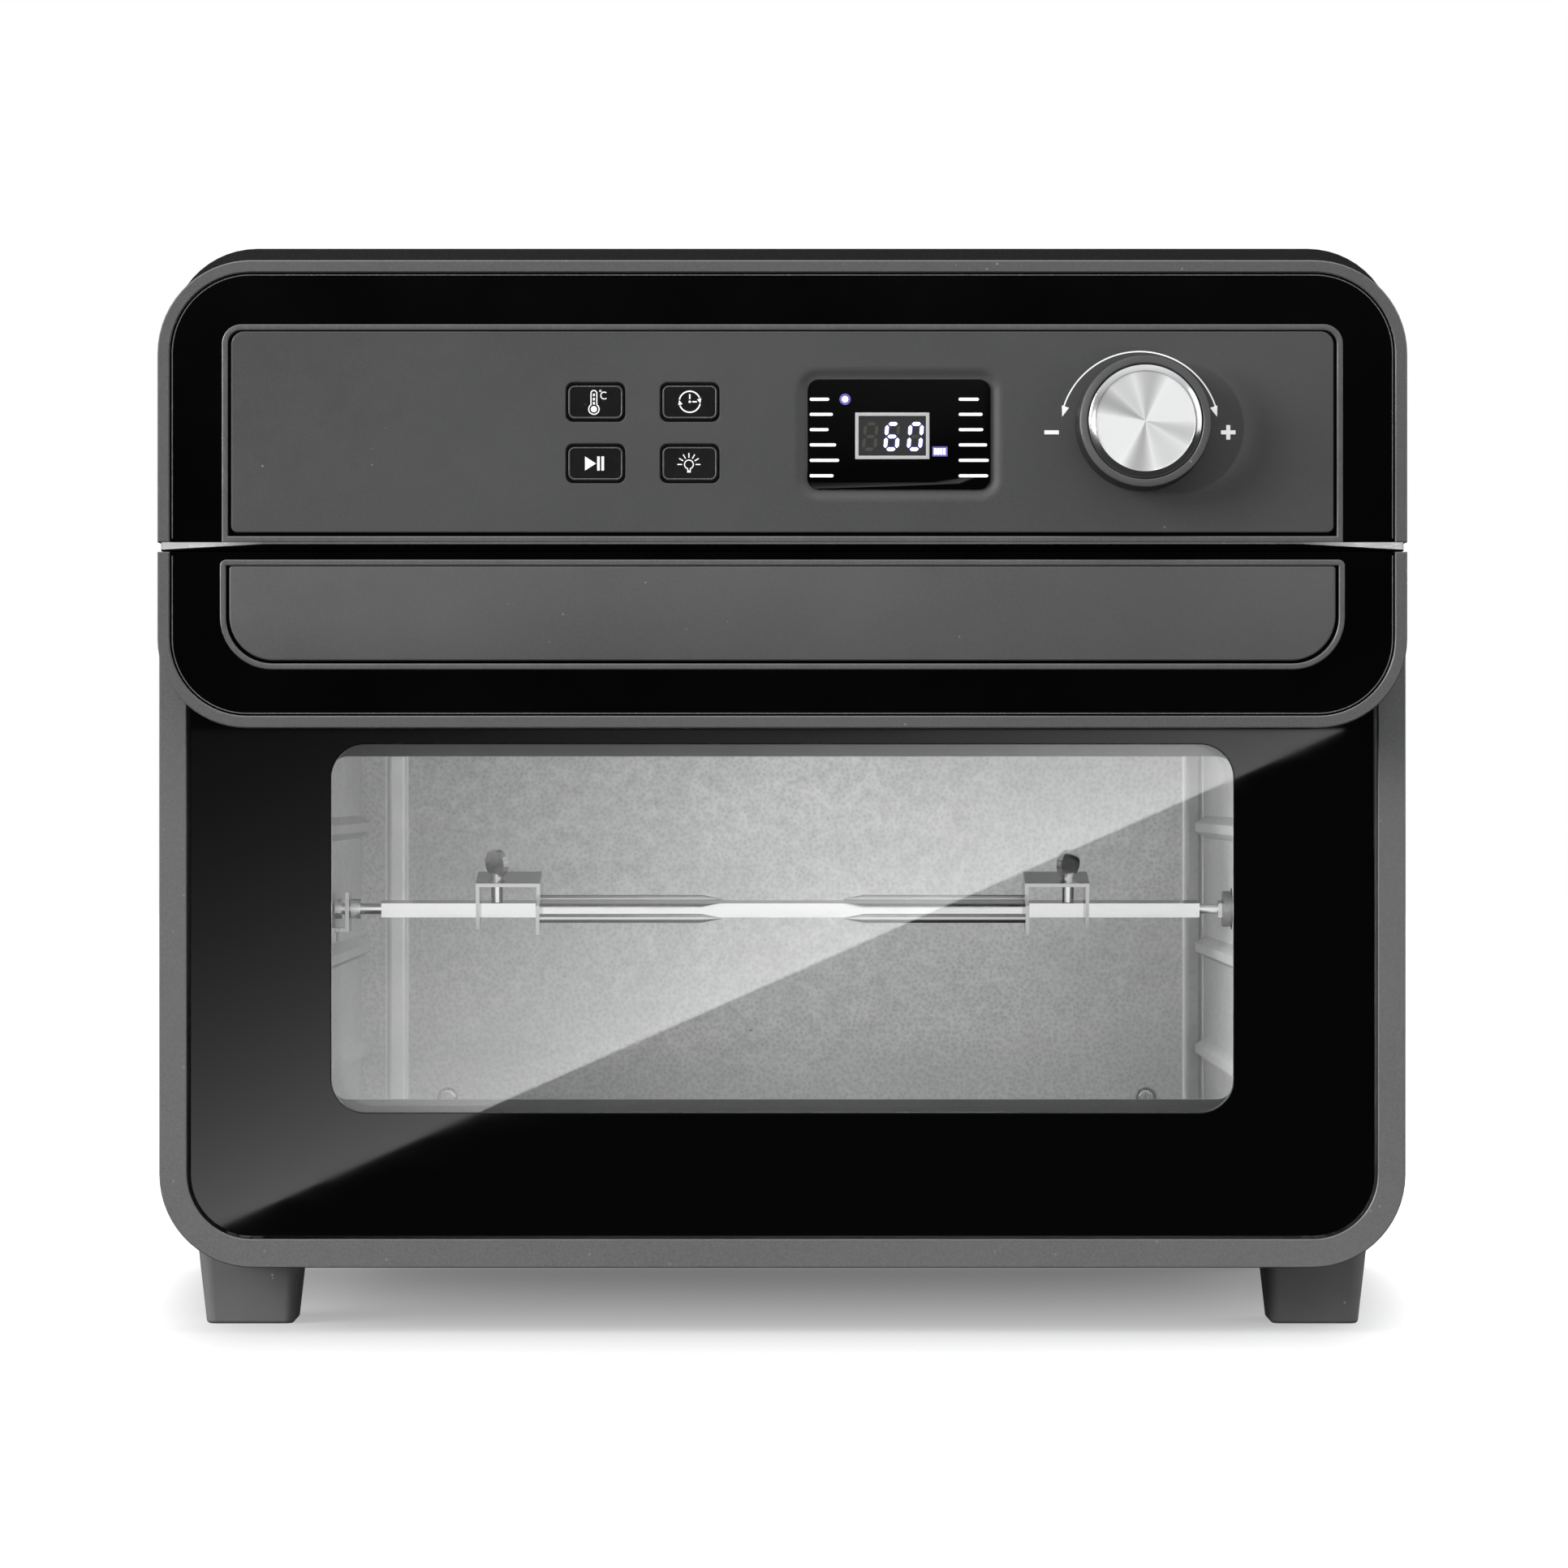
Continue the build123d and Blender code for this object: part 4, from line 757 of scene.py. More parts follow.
# Key wells and keys, the sunk surround of the display, and the white marks printed on the front.
WELL_HALF = (9.0 * MM, 5.95 * MM)
WELL_RADIUS = 2.2 * MM
KEY_HALF = (8.25 * MM, 5.0 * MM)
KEY_RADIUS = 1.9 * MM
KEYS = ("button_temperature", "button_timer", "button_play", "button_light")
SURROUND = 3.4 * MM
SURROUND_RADIUS = 7.0 * MM
SURROUND_STEPS = 10
PANEL_EDGE = 0.4 * MM
MARK_HEIGHT = 0.06 * MM


def build_control_panel():
    """Control panel face with the key wells and the sunk display surround."""
    low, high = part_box("control_panel")
    half_x, half_z = half_of("display_lens")
    loops = [rounded_loop(*outline_of("control_panel", 2.0 * MM, 4.0 * MM))]
    for key in KEYS:
        loops.append(rounded_loop(*WELL_HALF, middle_of(key), WELL_RADIUS, WELL_RADIUS))
    hole = (half_x + SURROUND, half_z + SURROUND, middle_of("display_lens"), SURROUND_RADIUS, SURROUND_RADIUS)
    loops.append(rounded_loop(*hole))
    face = plate("control_panel_face", loops, low.y, high.y, PANEL_EDGE, "inlay_grey")
    settle(face, "body")
    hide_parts("control_panel")
    start = low.y + 0.02 * MM
    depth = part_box("display_lens")[0].y - low.y + 0.55 * MM
    profile = []
    for i in range(SURROUND_STEPS + 1):
        share = i / SURROUND_STEPS
        sink = 0.5 - 0.5 * math.cos(math.pi * share)
        profile.append((SURROUND * share - PANEL_EDGE * (1 - share), start + depth * sink))
    profile.append((SURROUND, high.y))
    profile.append((-0.3 * MM, high.y))
    surround = pad("display_surround", hole, profile, "inlay_grey", True)
    settle(surround, "body")


def mark(name, loops, front, body, material, thickness=MARK_HEIGHT):
    """Thin printed mark standing just proud of a surface."""
    piece = plate(name, loops, front - thickness, front, 0.0, material)
    return settle(piece, body)


def arrow_head(tip, direction, length, width):
    """Triangle with its tip at a point, pointing along a direction in degrees."""
    base = point_at(tip, -length, direction)
    return [tip, point_at(base, width / 2, direction + 90), point_at(base, width / 2, direction - 90)]


def build_dial_print():
    """Arc with two arrows over the dial, and the minus and plus beside it."""
    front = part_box("control_panel")[0].y
    knob = middle_of("knob_body")
    centre = (knob[0] - 0.8 * MM, knob[1] - 2.2 * MM)
    radius = 24.3 * MM

    def print_shape(name, loop):
        mark(name, [loop], front, "body", "white_print")

    print_shape("dial_arc", stroke(arc(centre, radius, 162, 18, 60), 0.42 * MM))
    for name, angle, heading in (("dial_arrow_left", 166, 252), ("dial_arrow_right", 14, 288)):
        tip = point_at(centre, radius, angle)
        print_shape(name, arrow_head((tip[0], tip[1] - 1.4 * MM), heading, 3.2 * MM, 2.3 * MM))
    bar = 2.2 * MM
    half = 0.6 * MM
    minus = (centre[0] - 26.8 * MM, centre[1] - 0.3 * MM)
    plus = (centre[0] + 27.0 * MM, centre[1] - 0.3 * MM)
    print_shape("dial_minus", box_loop(minus[0] - bar, minus[0] + bar, minus[1] - half, minus[1] + half))
    cross = [(-bar, -half), (-half, -half), (-half, -bar), (half, -bar), (half, -half), (bar, -half),
             (bar, half), (half, half), (half, bar), (-half, bar), (-half, half), (-bar, half)]
    print_shape("dial_plus", [(plus[0] + x, plus[1] + z) for x, z in cross])


def moved(loops, centre):
    """Loops in millimetres about a centre, turned into metres in the frame."""
    return [[(centre[0] + x * MM, centre[1] + z * MM) for x, z in loop] for loop in loops]


def open_circle(centre, radius, neck, side):
    """Circle left open for a neck: at the top and clockwise for side 1, at the bottom for side -1."""
    lean = math.degrees(math.asin(neck / radius))
    return arc(centre, radius, side * (90 - lean), side * (lean - 270))


def thermometer_icon():
    """Outlined thermometer with a filled bulb and three marks, a degree sign and its unit."""
    radius = 1.75
    tube = 1.05
    wall = 0.34
    bulb = (-0.49, -2.15)
    crown = (bulb[0], 2.65)
    outer = open_circle(bulb, radius, tube, 1) + arc(crown, tube, 180, 0, 16)
    inner = open_circle(bulb, radius - wall, tube - wall, 1) + arc(crown, tube - wall, 180, 0, 16)
    shapes = [[outer, inner], [circle(bulb, 0.95)]]
    for z in (-0.35, 0.9, 2.2):
        shapes.append([box_loop(bulb[0] - 0.28, bulb[0] + 0.28, z - 0.4, z + 0.4)])
    degree = (1.5, 3.4)
    shapes.append([circle(degree, 0.36, 20), circle(degree, 0.2, 20)])
    shapes.append([stroke(arc((2.65, 2.0), 1.05, 50, 310, 30), 0.3)])
    return shapes


def timer_icon():
    """Clock face of two arcs with arrow heads, and two hands on a hub."""
    middle = (0, 0.1)
    shapes = [[stroke(arc(middle, 3.2, start, end, 30), 0.42)] for start, end in ((168, 22), (-12, -158))]
    for tip, heading in (((3.25, -0.45), 285), ((-3.25, 0.65), 105)):
        shapes.append([arrow_head(tip, heading, 1.5, 1.3)])
    shapes.append([box_loop(-0.22, 0.22, 0.9, 2.4)])
    shapes.append([box_loop(0.75, 2.2, -0.12, 0.3)])
    shapes.append([arc(middle, 0.38, 0, 340, 18)])
    return shapes


def play_icon():
    """Triangle and two bars."""
    half = 2.15
    shapes = [[[(-3.2, -half), (0.15, 0.0), (-3.2, half)]]]
    for left in (0.5, 1.8):
        shapes.append([box_loop(left, left + 0.8, -half, half)])
    return shapes


def light_icon():
    """Outlined bulb with seven rays."""
    centre = (-0.25, -0.3)
    neck = 0.56
    outer = open_circle(centre, 1.5, neck, -1)
    outer += [(centre[0] - neck, -2.75), (centre[0] + neck, -2.75)]
    inner_neck = neck - 0.3
    inner = open_circle(centre, 1.18, inner_neck, -1)
    inner += [(centre[0] - inner_neck, -2.1), (centre[0] + inner_neck, -2.1)]
    shapes = [[outer, inner]]
    for angle in (0, 32, 60, 90, 120, 148, 180):
        shapes.append([stroke([point_at(centre, 2.05, angle), point_at(centre, 3.5, angle)], 0.33)])
    return shapes


def build_keys():
    """Rim of each key, lighter than the key as a painted highlight on its bevel, and its icon."""
    icons = (thermometer_icon(), timer_icon(), play_icon(), light_icon())
    bodies = ("temperature_button", "timer_button", "play_button", "light_button")
    for key, body, icon in zip(KEYS, bodies, icons):
        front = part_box(key)[0].y
        centre = middle_of(key)
        profile = soft_ring_profile(front - 0.16 * MM, front + 0.5 * MM, 0.5 * MM, 0.18 * MM)
        # Painted highlight: the rim is a lighter metal standing in for light caught by the key's bevel.
        rim = pad(key + "_rim", (*KEY_HALF, centre, KEY_RADIUS, KEY_RADIUS), profile, "key_rim_painted_highlight", True)
        settle(rim, body)
        for number, loops in enumerate(icon):
            name = f"{key}_icon_{number}"
            mark(name, moved(loops, centre), front, body, "white_print", 0.04 * MM)


# Dial: gap behind its grip, width of the polished ring, seat of the disc and depth of its dish.
GRIP_GAP = 0.9 * MM
LIP_INSET = 0.6 * MM
RING_WIDTH = 2.0 * MM
DISC_SEAT = 0.25 * MM
DISC_DISH = 0.08 * MM
DISC_STEPS = 24


def build_dial_grip(centre, base, cap):
    """Dark grip of the dial and the fine grey lip around its cap; base and cap are radii."""
    low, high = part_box("knob_body")
    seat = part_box("knob_cap")[1].y
    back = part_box("control_panel")[0].y - GRIP_GAP
    front = low.y
    lip = base - LIP_INSET
    profile = [(3.0 * MM, high.y), (3.0 * MM, back), (base - 0.4 * MM, back), (base, back - 0.4 * MM),
               (base - 0.05 * MM, back - 2.0 * MM), (lip + 0.1 * MM, front + 1.2 * MM),
               (lip, front + 0.8 * MM), (cap, front + 0.8 * MM)]
    grip = lathe("dial_grip", centre, profile, "knob_black")
    settle(grip, "knob")
    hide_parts("knob_body")
    edge = [(cap - 1.0 * MM, front + 0.9 * MM), (lip, front + 0.9 * MM), (lip, front + 0.55 * MM),
            (lip - 0.16 * MM, front + 0.16 * MM), (lip - 0.55 * MM, front), (cap + 0.75 * MM, front),
            (cap + 0.45 * MM, front + 0.2 * MM), (cap + 0.3 * MM, seat), (cap - 1.0 * MM, seat)]
    rim = lathe("dial_lip", centre, edge, "dial_lip")
    settle(rim, "knob")


def build_dial_cap(centre, cap):
    """Polished ring with a chamfer, and the slightly domed spun disc inside it; cap is a radius."""
    low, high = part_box("knob_cap")
    face = low.y + DISC_SEAT
    inside = cap - RING_WIDTH
    profile = [(cap, high.y), (cap, low.y + 1.0 * MM), (cap - 0.12 * MM, low.y + 0.86 * MM),
               (inside + 0.2 * MM, low.y + 0.05 * MM), (inside + 0.08 * MM, low.y + 0.03 * MM),
               (inside, low.y + 0.12 * MM), (inside, face + 0.4 * MM)]
    ring = lathe("dial_ring", centre, profile, "dial_chrome", sharp_angle=20)
    settle(ring, "knob")
    profile = [(inside + 0.1 * MM, high.y)]
    for i in range(DISC_STEPS + 1):
        radius = (inside - 0.02 * MM) * (1 - i / (DISC_STEPS + 0.6))
        profile.append((radius, face + DISC_DISH * (1 - (i / DISC_STEPS) ** 2)))
    disc = lathe("dial_disc", (0.0, 0.0), profile, "spun_aluminium")
    disc.location = (centre[0], 0.0, centre[1])
    settle(disc, "knob")
    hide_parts("knob_cap")


def build_knob():
    """Dial: dark grip with a fine lip, polished ring and spun disc."""
    centre = middle_of("knob_body")
    cap = half_of("knob_cap")[0]
    build_dial_grip(centre, half_of("knob_body")[0], cap)
    build_dial_cap(centre, cap)


# Seven-segment digits: ends of each segment in half digits, the lit ones, half size and slant.
SEGMENTS = {
    "top": ((-1, 1), (1, 1)), "middle": ((-1, 0), (1, 0)), "bottom": ((-1, -1), (1, -1)),
    "upper_left": ((-1, 0), (-1, 1)), "upper_right": ((1, 0), (1, 1)),
    "lower_left": ((-1, -1), (-1, 0)), "lower_right": ((1, -1), (1, 0)),
}
SIX = ("top", "middle", "bottom", "upper_left", "lower_left", "lower_right")
ZERO = ("top", "bottom", "upper_left", "upper_right", "lower_left", "lower_right")
DIGIT_HALF = (1.75, 3.85)
DIGIT_SLANT = 0.09


def segment_loop(ends, centre, width, spare=0.42):
    """Six-sided segment between two corners of a slanted digit, in millimetres."""
    (x0, z0), (x1, z1) = [(DIGIT_HALF[0] * x, DIGIT_HALF[1] * z) for x, z in ends]
    length = math.hypot(x1 - x0, z1 - z0)
    ux, uz = (x1 - x0) / length, (z1 - z0) / length
    x0, z0, x1, z1 = x0 + spare * ux, z0 + spare * uz, x1 - spare * ux, z1 - spare * uz
    half = width / 2
    shape = [
        (x0, z0),
        (x0 + half * (ux - uz), z0 + half * (uz + ux)),
        (x1 - half * (ux + uz), z1 + half * (ux - uz)),
        (x1, z1),
        (x1 + half * (uz - ux), z1 - half * (uz + ux)),
        (x0 + half * (ux + uz), z0 + half * (uz - ux)),
    ]
    return [(centre[0] + x + DIGIT_SLANT * z, centre[1] + z) for x, z in shape]


def rounded_bar(left, right, height, width):
    """Bar with round ends, in millimetres."""
    half = width / 2
    return arc((right - half, height), half, -90, 90, 10) + arc((left + half, height), half, 90, 270, 10)


# Display: the number window, the three digits with their lit segments, the lamps, and the rows, starts
# and lengths of the bars at both sides. Plain numbers are millimetres about the lens's centre.
NUMBER_WINDOW = (-2.0, -0.45)
NUMBER_HALF = (11.3 * MM, 7.1 * MM)
NUMBER_RADIUS = 0.25 * MM
DIGITS = ((-8.7, ()), (-2.1, SIX), (5.0, ZERO))
DIGIT_HEIGHT = NUMBER_WINDOW[1] - 0.2
PROGRAMME_LAMP = (-16.4, 10.7)
UNIT_LAMP = (12.5, -5.2)
LABEL_ROWS = (10.7, 6.1, 1.45, -3.2, -7.9, -12.6)
LABELS = {"left": (-27.2, (6.0, 7.1, 5.8, 8.1, 9.0, 7.3)), "right": (18.2, (6.2, 7.3, 7.5, 8.7, 9.2, 9.0))}
LIT_HEIGHT = 0.03 * MM
HALO_HEIGHT = 0.015 * MM


def display_mark(name, loop, front, material, thickness):
    """Mark on the display from a loop in millimetres about the lens's centre."""
    mark(name, moved([loop], middle_of("display_lens")), front, "body", material, thickness)


def build_number_window(front):
    """Pale rim and dim field of the number window."""
    centre = middle_of("display_lens")
    place = (centre[0] + NUMBER_WINDOW[0] * MM, centre[1] + NUMBER_WINDOW[1] * MM)
    outline = (*NUMBER_HALF, place, NUMBER_RADIUS, NUMBER_RADIUS)
    frame_profile = soft_ring_profile(front - 0.12 * MM, front + 0.1 * MM, 1.05 * MM, 0.1 * MM)
    rim = pad("number_window_rim", outline, frame_profile, "window_rim", True)
    settle(rim, "body")
    field_profile = [(0.9 * MM, front + 0.1 * MM), (0.9 * MM, front - 0.03 * MM)]
    field = pad("number_window_field", outline, field_profile, "window_field")
    settle(field, "body")


def build_digits(front, lit, halo):
    """Three seven-segment digits, lit and dim, each lit segment over its halo."""
    dim = moulded_plastic("dim_segment", (0.075, 0.075, 0.06), (0.09, 0.09, 0.075), 0.3, 0.4)
    for number, (offset, shown) in enumerate(DIGITS):
        place = (offset, DIGIT_HEIGHT)
        for name, ends in SEGMENTS.items():
            label = f"digit_{number}_{name}"
            on = name in shown
            loop = segment_loop(ends, place, 0.98)
            display_mark(label, loop, front - 0.06 * MM, lit if on else dim, LIT_HEIGHT)
            if on:
                wide = segment_loop(ends, place, 1.5, 0.2)
                display_mark(label + "_halo", wide, front - 0.04 * MM, halo, HALO_HEIGHT)


def build_lamps(front, lit, halo):
    """Round programme lamp and the four small bars of the unit lamp, over their halos."""
    raised = front - 0.02 * MM
    display_mark("programme_lamp_halo", circle(PROGRAMME_LAMP, 1.7), front, halo, HALO_HEIGHT)
    display_mark("programme_lamp", circle(PROGRAMME_LAMP, 0.95), raised, lit, LIT_HEIGHT)
    x, z = UNIT_LAMP
    display_mark("unit_lamp_halo", box_loop(x - 2.3, x + 2.3, z - 1.5, z + 1.5), front, halo, HALO_HEIGHT)
    for step in range(4):
        left = x - 1.8 + 0.95 * step
        loop = box_loop(left, left + 0.65, z - 0.95, z + 0.95)
        display_mark(f"unit_lamp_{step}", loop, raised, lit, LIT_HEIGHT)


def build_display():
    """Smoked lens with its number window, lamps and a bar in place of each printed word."""
    low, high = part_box("display_lens")
    lens = pad("display_face", outline_of("display_lens", 3.6 * MM, 3.6 * MM),
               soft_profile(low.y, high.y, 0.15 * MM), "display_glass")
    settle(lens, "body")
    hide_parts("display_lens")
    build_number_window(low.y)
    lit = lit_segment("lit_segment", (0.72, 0.72, 1.0), 3.2)
    # Painted light: the halo is a weak emissive mark round each lit segment, standing in for the light it
    # spills into the lens.
    halo = lit_segment("halo_segment", (0.08, 0.06, 0.7), 0.55)
    build_digits(low.y, lit, halo)
    build_lamps(low.y, lit, halo)
    for side, (start, widths) in LABELS.items():
        for row, (height, width) in enumerate(zip(LABEL_ROWS, widths)):
            loop = rounded_bar(start, start + width, height, 0.95)
            display_mark(f"programme_mark_{side}_{row}", loop, low.y, "white_print", 0.04 * MM)


# Clear window of the door glass, as the arguments of rounded_loop.
WINDOW = (139.0 * MM, 56.75 * MM, (0.0, 125.1 * MM), 10.5 * MM, 10.5 * MM)


def build_door_glass():
    """Door glass as two pieces that meet: a printed black border and the clear window in it."""
    low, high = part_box("door_glass")
    loops = [rounded_loop(*outline_of("door_glass", 19.0 * MM, 0.5 * MM)), rounded_loop(*WINDOW)]
    border = plate("door_glass_border", loops, low.y, high.y, 0.3 * MM, "door_print")
    settle(border, "door")
    window = pad("door_glass_window", WINDOW, [(0.0, high.y), (0.0, low.y)], "door_glass")
    settle(window, "door")
    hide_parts("door_glass")
    hide_from(window, "shadow")


INNER_GLASS_GAP = 0.05 * MM
GROUND_EDGE = 0.4 * MM


def build_inner_glass():
    """Inner pane with ground edges, a hair in front of the liner that it lies against."""
    low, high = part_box("inner_glass")
    back = high.y - INNER_GLASS_GAP
    profile = [(GROUND_EDGE, back), (0.0, back - GROUND_EDGE),
               (0.0, low.y + GROUND_EDGE), (GROUND_EDGE, low.y)]
    pane = pad("inner_glass_pane", outline_of("inner_glass", 3.0 * MM, 3.0 * MM), profile,
               "clear_glass")
    settle(pane, "door")
    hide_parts("inner_glass")
    hide_from(pane, "shadow")


# --- Studio ---------------------------------------------------------------------------------


FLOOR_HALF = 6.0

# Painted shadow on the floor, in metres: its darkest row, its reach before and behind that row, the power
# of its fading, the half width of its even middle and the width of its faded sides.
SHADE_MIDDLE = 0.1
SHADE_FRONT = 0.43
SHADE_BACK = 0.2
SHADE_FALL = 1.5
SHADE_HALF_WIDTH = 0.16
SHADE_SIDE = 0.06


def build_floor():
    """Pale studio floor with a faint mottling, glowing evenly but for a painted shadow under the oven."""
    s = Shader("studio_floor", specular=0.1)
    s.paint(s.noise(3, 2), 0.29, 0.31)
    s.roughen(s.noise(8, 2), 0.85, 0.95)
    # Painted shadow: the floor's glow is darkest in a band under the oven.
    behind = s.math("SUBTRACT", s.axis("Y"), SHADE_MIDDLE)
    along = s.math("MAXIMUM", s.math("DIVIDE", behind, SHADE_BACK), s.math("DIVIDE", behind, -SHADE_FRONT))
    lengthways = s.math("POWER", along, SHADE_FALL)
    beside = s.math("SUBTRACT", s.math("ABSOLUTE", s.axis("X")), SHADE_HALF_WIDTH)
    sideways = s.math("POWER", s.math("MAXIMUM", s.math("DIVIDE", beside, SHADE_SIDE), 0.0), 2.0)
    share = s.math("MINIMUM", s.math("ADD", lengthways, sideways), 1.0)
    s.link(s.mix(share, 0.18, 1.0), s.principled.inputs["Emission Color"])
    s.fix("Emission Strength", 1.0)
    corners = [(x, y, 0) for x, y in box_loop(-FLOOR_HALF, FLOOR_HALF, -FLOOR_HALF, FLOOR_HALF)]
    floor = new_object("studio_floor", corners, [(0, 1, 2, 3)], s.material)
    hide_from(floor, "glossy", "diffuse", "transmission")


def link_all(tree, *pairs):
    """Join pairs of output and input sockets."""
    for source, target in pairs:
        tree.links.new(source, target)


def glow_material(name):
    """Plain emission for a card that is only reflected, and its emission node."""
    material = bpy.data.materials.new(name)
    material.use_nodes = True
    tree = material.node_tree
    tree.nodes.clear()
    emit = tree.nodes.new("ShaderNodeEmission")
    out = tree.nodes.new("ShaderNodeOutputMaterial")
    link_all(tree, (emit.outputs["Emission"], out.inputs["Surface"]))
    return material, emit


# Card that the door glass mirrors: its distance behind the door, where the lower edge starts on the
# glass as (x, z), that edge's slope, the card's top on the glass, and how its light fades upward.
CARD_DISTANCE = 2.4
CARD_EDGE_START = (-190.0 * MM, 25.8 * MM)
CARD_SLOPE = 0.4415
CARD_TOP = 186.2 * MM
CARD_FADE = 3.0
CARD_LEVEL = 2.25


def build_reflected_card():
    """Grey card behind the camera that the door glass mirrors: bright along its slanted edge."""
    scale = 1 + CARD_DISTANCE / CAMERA_DISTANCE
    door_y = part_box("door_glass")[0].y

    def mirrored(x, z):
        return (CAMERA_POINT[0] + (x - CAMERA_POINT[0]) * scale, door_y - CARD_DISTANCE,
                CAMERA_POINT[1] + (z - CAMERA_POINT[1]) * scale)

    run = (CARD_TOP - CARD_EDGE_START[1]) / CARD_SLOPE
    corners = [mirrored(*CARD_EDGE_START), mirrored(CARD_EDGE_START[0] + run, CARD_TOP),
               mirrored(CARD_EDGE_START[0], CARD_TOP)]
    material, emit = glow_material("reflected_card")
    tree = material.node_tree
    tilt = math.atan(CARD_SLOPE)
    normal = Vector((-math.sin(tilt), 0.0, math.cos(tilt)))
    start = normal.dot(Vector(corners[0]))
    end = normal.dot(Vector(corners[2]))
    place = tree.nodes.new("ShaderNodeTexCoord")
    across = tree.nodes.new("ShaderNodeVectorMath")
    across.operation = "DOT_PRODUCT"
    across.inputs[1].default_value = normal
    limits = {"From Min": start, "From Max": end, "To Min": 0.0, "To Max": -CARD_FADE}
    depth = add_node(tree, "ShaderNodeMapRange", limits)
    fade = tree.nodes.new("ShaderNodeMath")
    fade.operation = "EXPONENT"
    level = tree.nodes.new("ShaderNodeMath")
    level.operation = "MULTIPLY"
    level.inputs[1].default_value = CARD_LEVEL
    link_all(tree, (place.outputs["Object"], across.inputs[0]),
             (across.outputs["Value"], depth.inputs["Value"]), (depth.outputs["Result"], fade.inputs[0]),
             (fade.outputs["Value"], level.inputs[0]), (level.outputs["Value"], emit.inputs["Strength"]))
    card = new_object("reflected_card", corners, [(0, 1, 2)], material)
    hide_from(card, "camera", "diffuse", "shadow")


def place_light(name, light, place, target):
    """Put a light in the scene, aimed at a point."""
    lamp = link_object(name, light)
    lamp.location = place
    lamp.rotation_euler = (Vector(target) - Vector(place)).to_track_quat("-Z", "Y").to_euler()
    return lamp


def area_light(name, place, target, size, power):
    """Soft rectangular light aimed at a point, its power in watts."""
    light = bpy.data.lights.new(name, "AREA")
    light.shape = "RECTANGLE"
    light.size, light.size_y = size
    light.energy = power
    return place_light(name, light, place, target)


# Studio lights aimed at the oven's middle: place, size and power.
STUDIO_TARGET = (0.0, 0.0, 0.17)
STUDIO_LIGHTS = {
    "key_left": ((-1.9, -1.1, 0.9), (1.4, 1.2), 52),
    "fill_right": ((1.8, -1.2, 0.7), (1.2, 1.2), 5),
    "top": ((0.0, -0.3, 1.9), (1.8, 1.4), 9.5),
    "back": ((0.4, 1.6, 1.1), (1.4, 1.0), 14),
    "side_right": ((1.9, 0.9, 0.9), (1.2, 1.2), 16),
}


def build_studio_lights():
    """Key from the upper left, weaker fill from the right, top, back and side light."""
    for name, (place, size, power) in STUDIO_LIGHTS.items():
        area_light(name, place, STUDIO_TARGET, size, power)


def build_dial_snoot():
    """Narrow spot that brightens the dial's disc."""
    light = bpy.data.lights.new("dial_snoot", "SPOT")
    light.energy = 15.0
    light.shadow_soft_size = 0.004
    light.spot_size = math.radians(2.2)
    light.spot_blend = 0.2
    low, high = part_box("knob_cap")
    dial = (low + high) / 2
    place_light("dial_snoot", light, dial + Vector((-0.55, -0.83, 0.05)), dial)


def build_low_lights():
    """Low strip that lifts the feet, and a faint light between the door's two panes."""
    bounce = area_light("bounce", (0.55, -1.2, 0.04), (0.05, -0.1, 0.05), (1.4, 0.06), 2.6)
    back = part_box("cavity_back_wall")[0].y
    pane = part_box("door_glass")[1].y + 0.002
    gap = area_light("between_panes", (0.0, pane, 0.125), (0.0, back, 0.125), (0.27, 0.11), 0.05)
    hide_from(bounce, "camera", "glossy", "transmission")
    hide_from(gap, "camera", "glossy", "transmission")


def build_oven_lights():
    """The oven's own light from the front, and a card that only its metal parts reflect."""
    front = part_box("cavity_wrapper")[0].y
    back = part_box("cavity_back_wall")[0].y
    oven = area_light("oven_front", (0.0, front + 0.035, 0.13), (0.14, back, 0.13), (0.12, 0.13), 0.37)
    hide_from(oven, "camera", "glossy")
    corners = [(x, front + 0.004, z) for x, z in box_loop(-0.165, 0.165, 0.06, 0.21)]
    glow, emit = glow_material("oven_reflector")
    emit.inputs["Strength"].default_value = 1.2
    reflector = new_object("oven_reflector", corners, [(0, 1, 2, 3)], glow)
    hide_from(reflector, "camera", "diffuse", "transmission", "shadow")


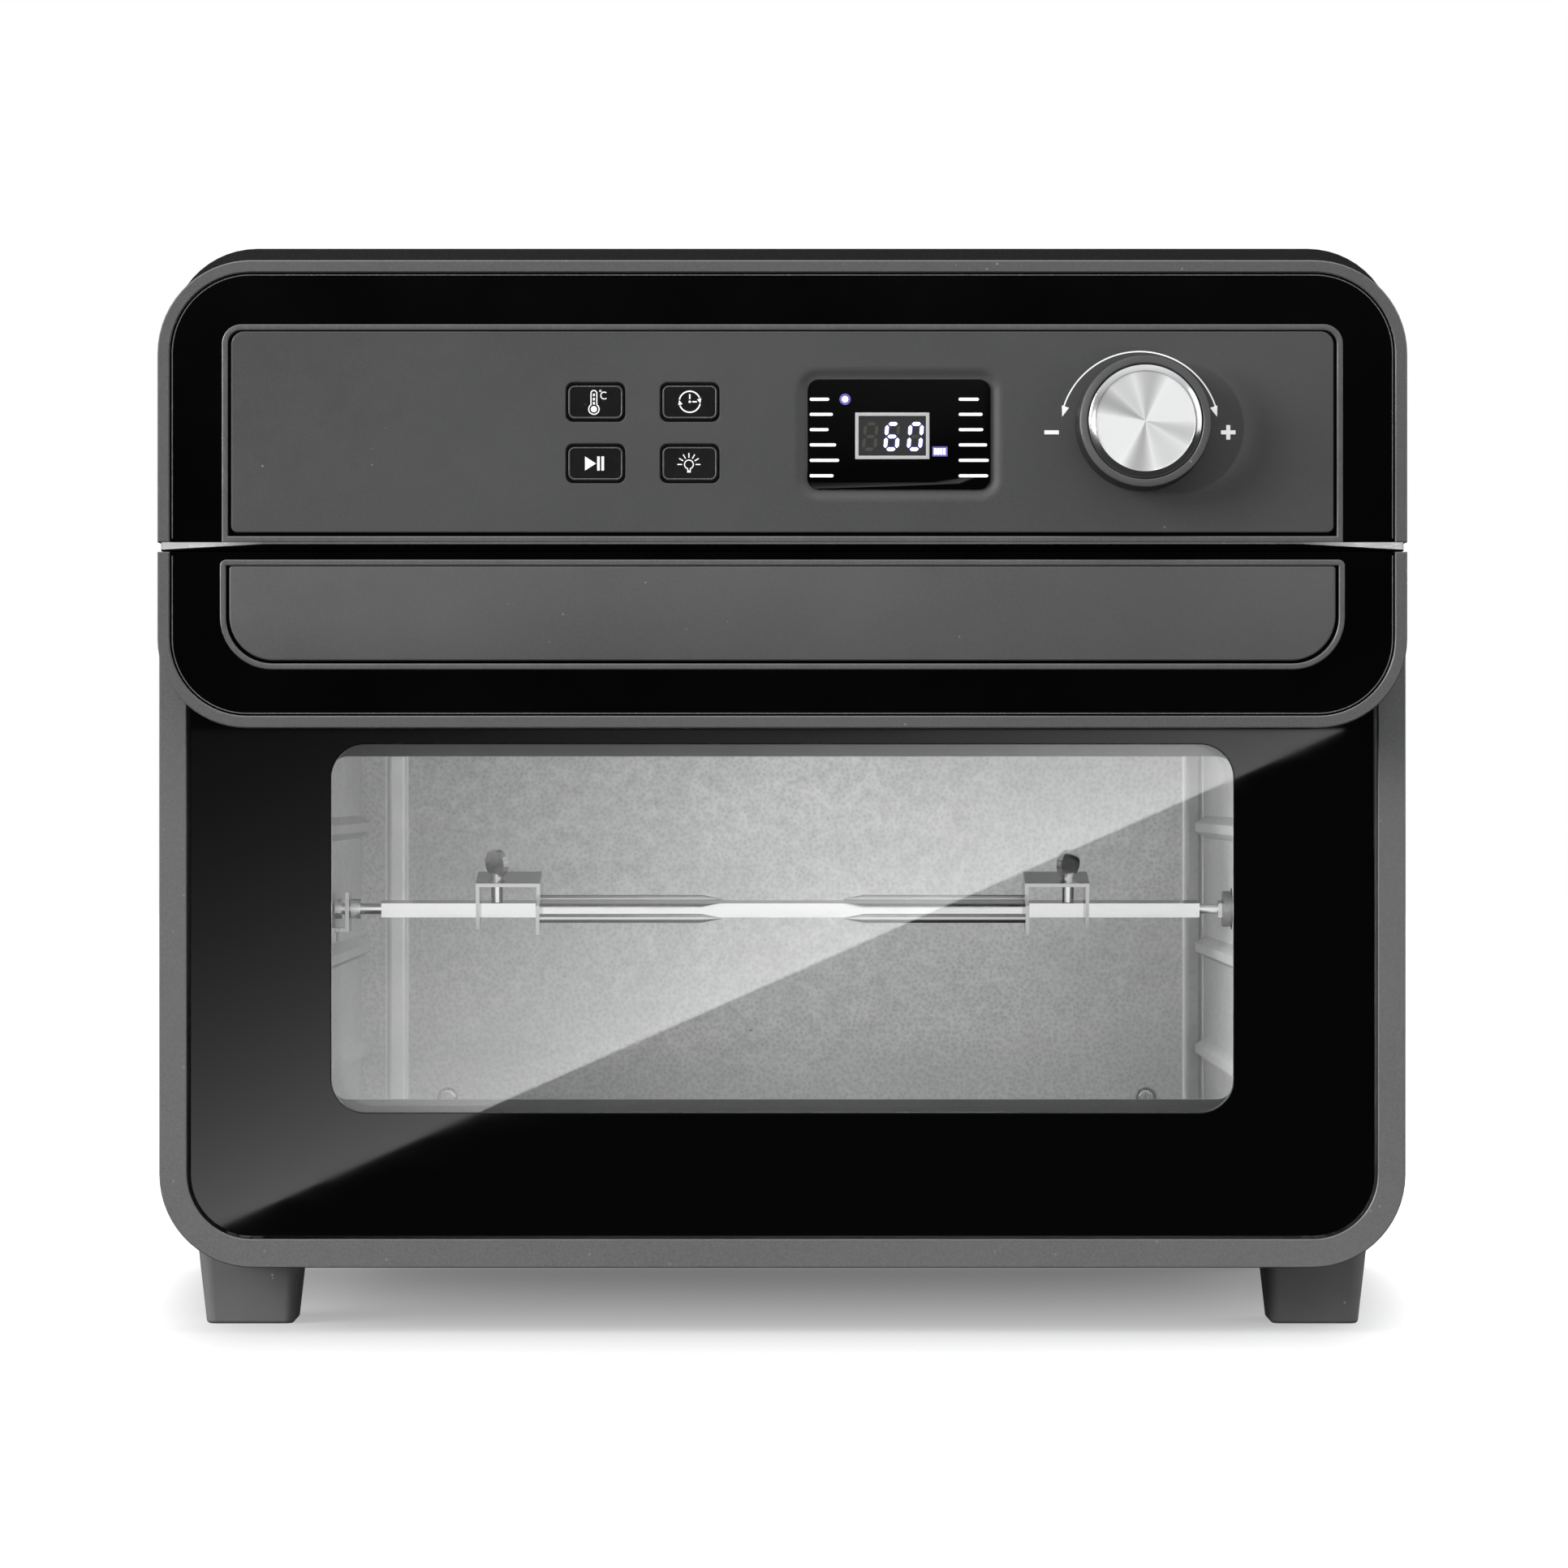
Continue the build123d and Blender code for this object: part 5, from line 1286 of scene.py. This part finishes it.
def build_world():
    """White to the camera; to everything else a dim room with a pale ceiling."""
    world = bpy.data.worlds.new("studio")
    bpy.context.scene.world = world
    world.use_nodes = True
    tree = world.node_tree
    tree.nodes.clear()
    place = tree.nodes.new("ShaderNodeTexCoord")
    split = tree.nodes.new("ShaderNodeSeparateXYZ")
    limits = {"From Min": 0.05, "From Max": 0.8, "To Min": 0.035, "To Max": 0.9}
    rise = add_node(tree, "ShaderNodeMapRange", limits)
    dim = add_node(tree, "ShaderNodeBackground", {"Color": (0.97, 0.98, 1.0, 1.0)})
    pale = add_node(tree, "ShaderNodeBackground", {"Color": (1.0, 1.0, 1.0, 1.0), "Strength": 1.0})
    path = tree.nodes.new("ShaderNodeLightPath")
    mix = tree.nodes.new("ShaderNodeMixShader")
    out = tree.nodes.new("ShaderNodeOutputWorld")
    link_all(tree, (place.outputs["Generated"], split.inputs["Vector"]),
             (split.outputs["Z"], rise.inputs["Value"]), (rise.outputs["Result"], dim.inputs["Strength"]),
             (path.outputs["Is Camera Ray"], mix.inputs["Fac"]), (dim.outputs["Background"], mix.inputs[1]),
             (pale.outputs["Background"], mix.inputs[2]), (mix.outputs["Shader"], out.inputs["Surface"]))


def build_camera():
    """Level camera straight in front of the door."""
    camera = bpy.data.cameras.new("camera")
    camera.sensor_width = SENSOR
    camera.lens = SENSOR * CAMERA_DISTANCE / FRAME_WIDTH
    camera.clip_start = 0.01
    holder = link_object("camera", camera)
    door_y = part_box("door_frame")[0].y
    holder.location = (CAMERA_POINT[0], door_y - CAMERA_DISTANCE, CAMERA_POINT[1])
    holder.rotation_euler = (math.radians(90), 0.0, 0.0)
    bpy.context.scene.camera = holder
    bpy.context.scene.view_settings.view_transform = "Standard"


build_camera()
dress_cad_nodes()
build_inlays()
build_edge_highlight_lines()
build_slit_backing()
build_control_panel()
build_dial_print()
build_keys()
build_knob()
build_display()
build_door_glass()
build_inner_glass()
build_floor()
build_reflected_card()
build_studio_lights()
build_dial_snoot()
build_low_lights()
build_oven_lights()
build_world()
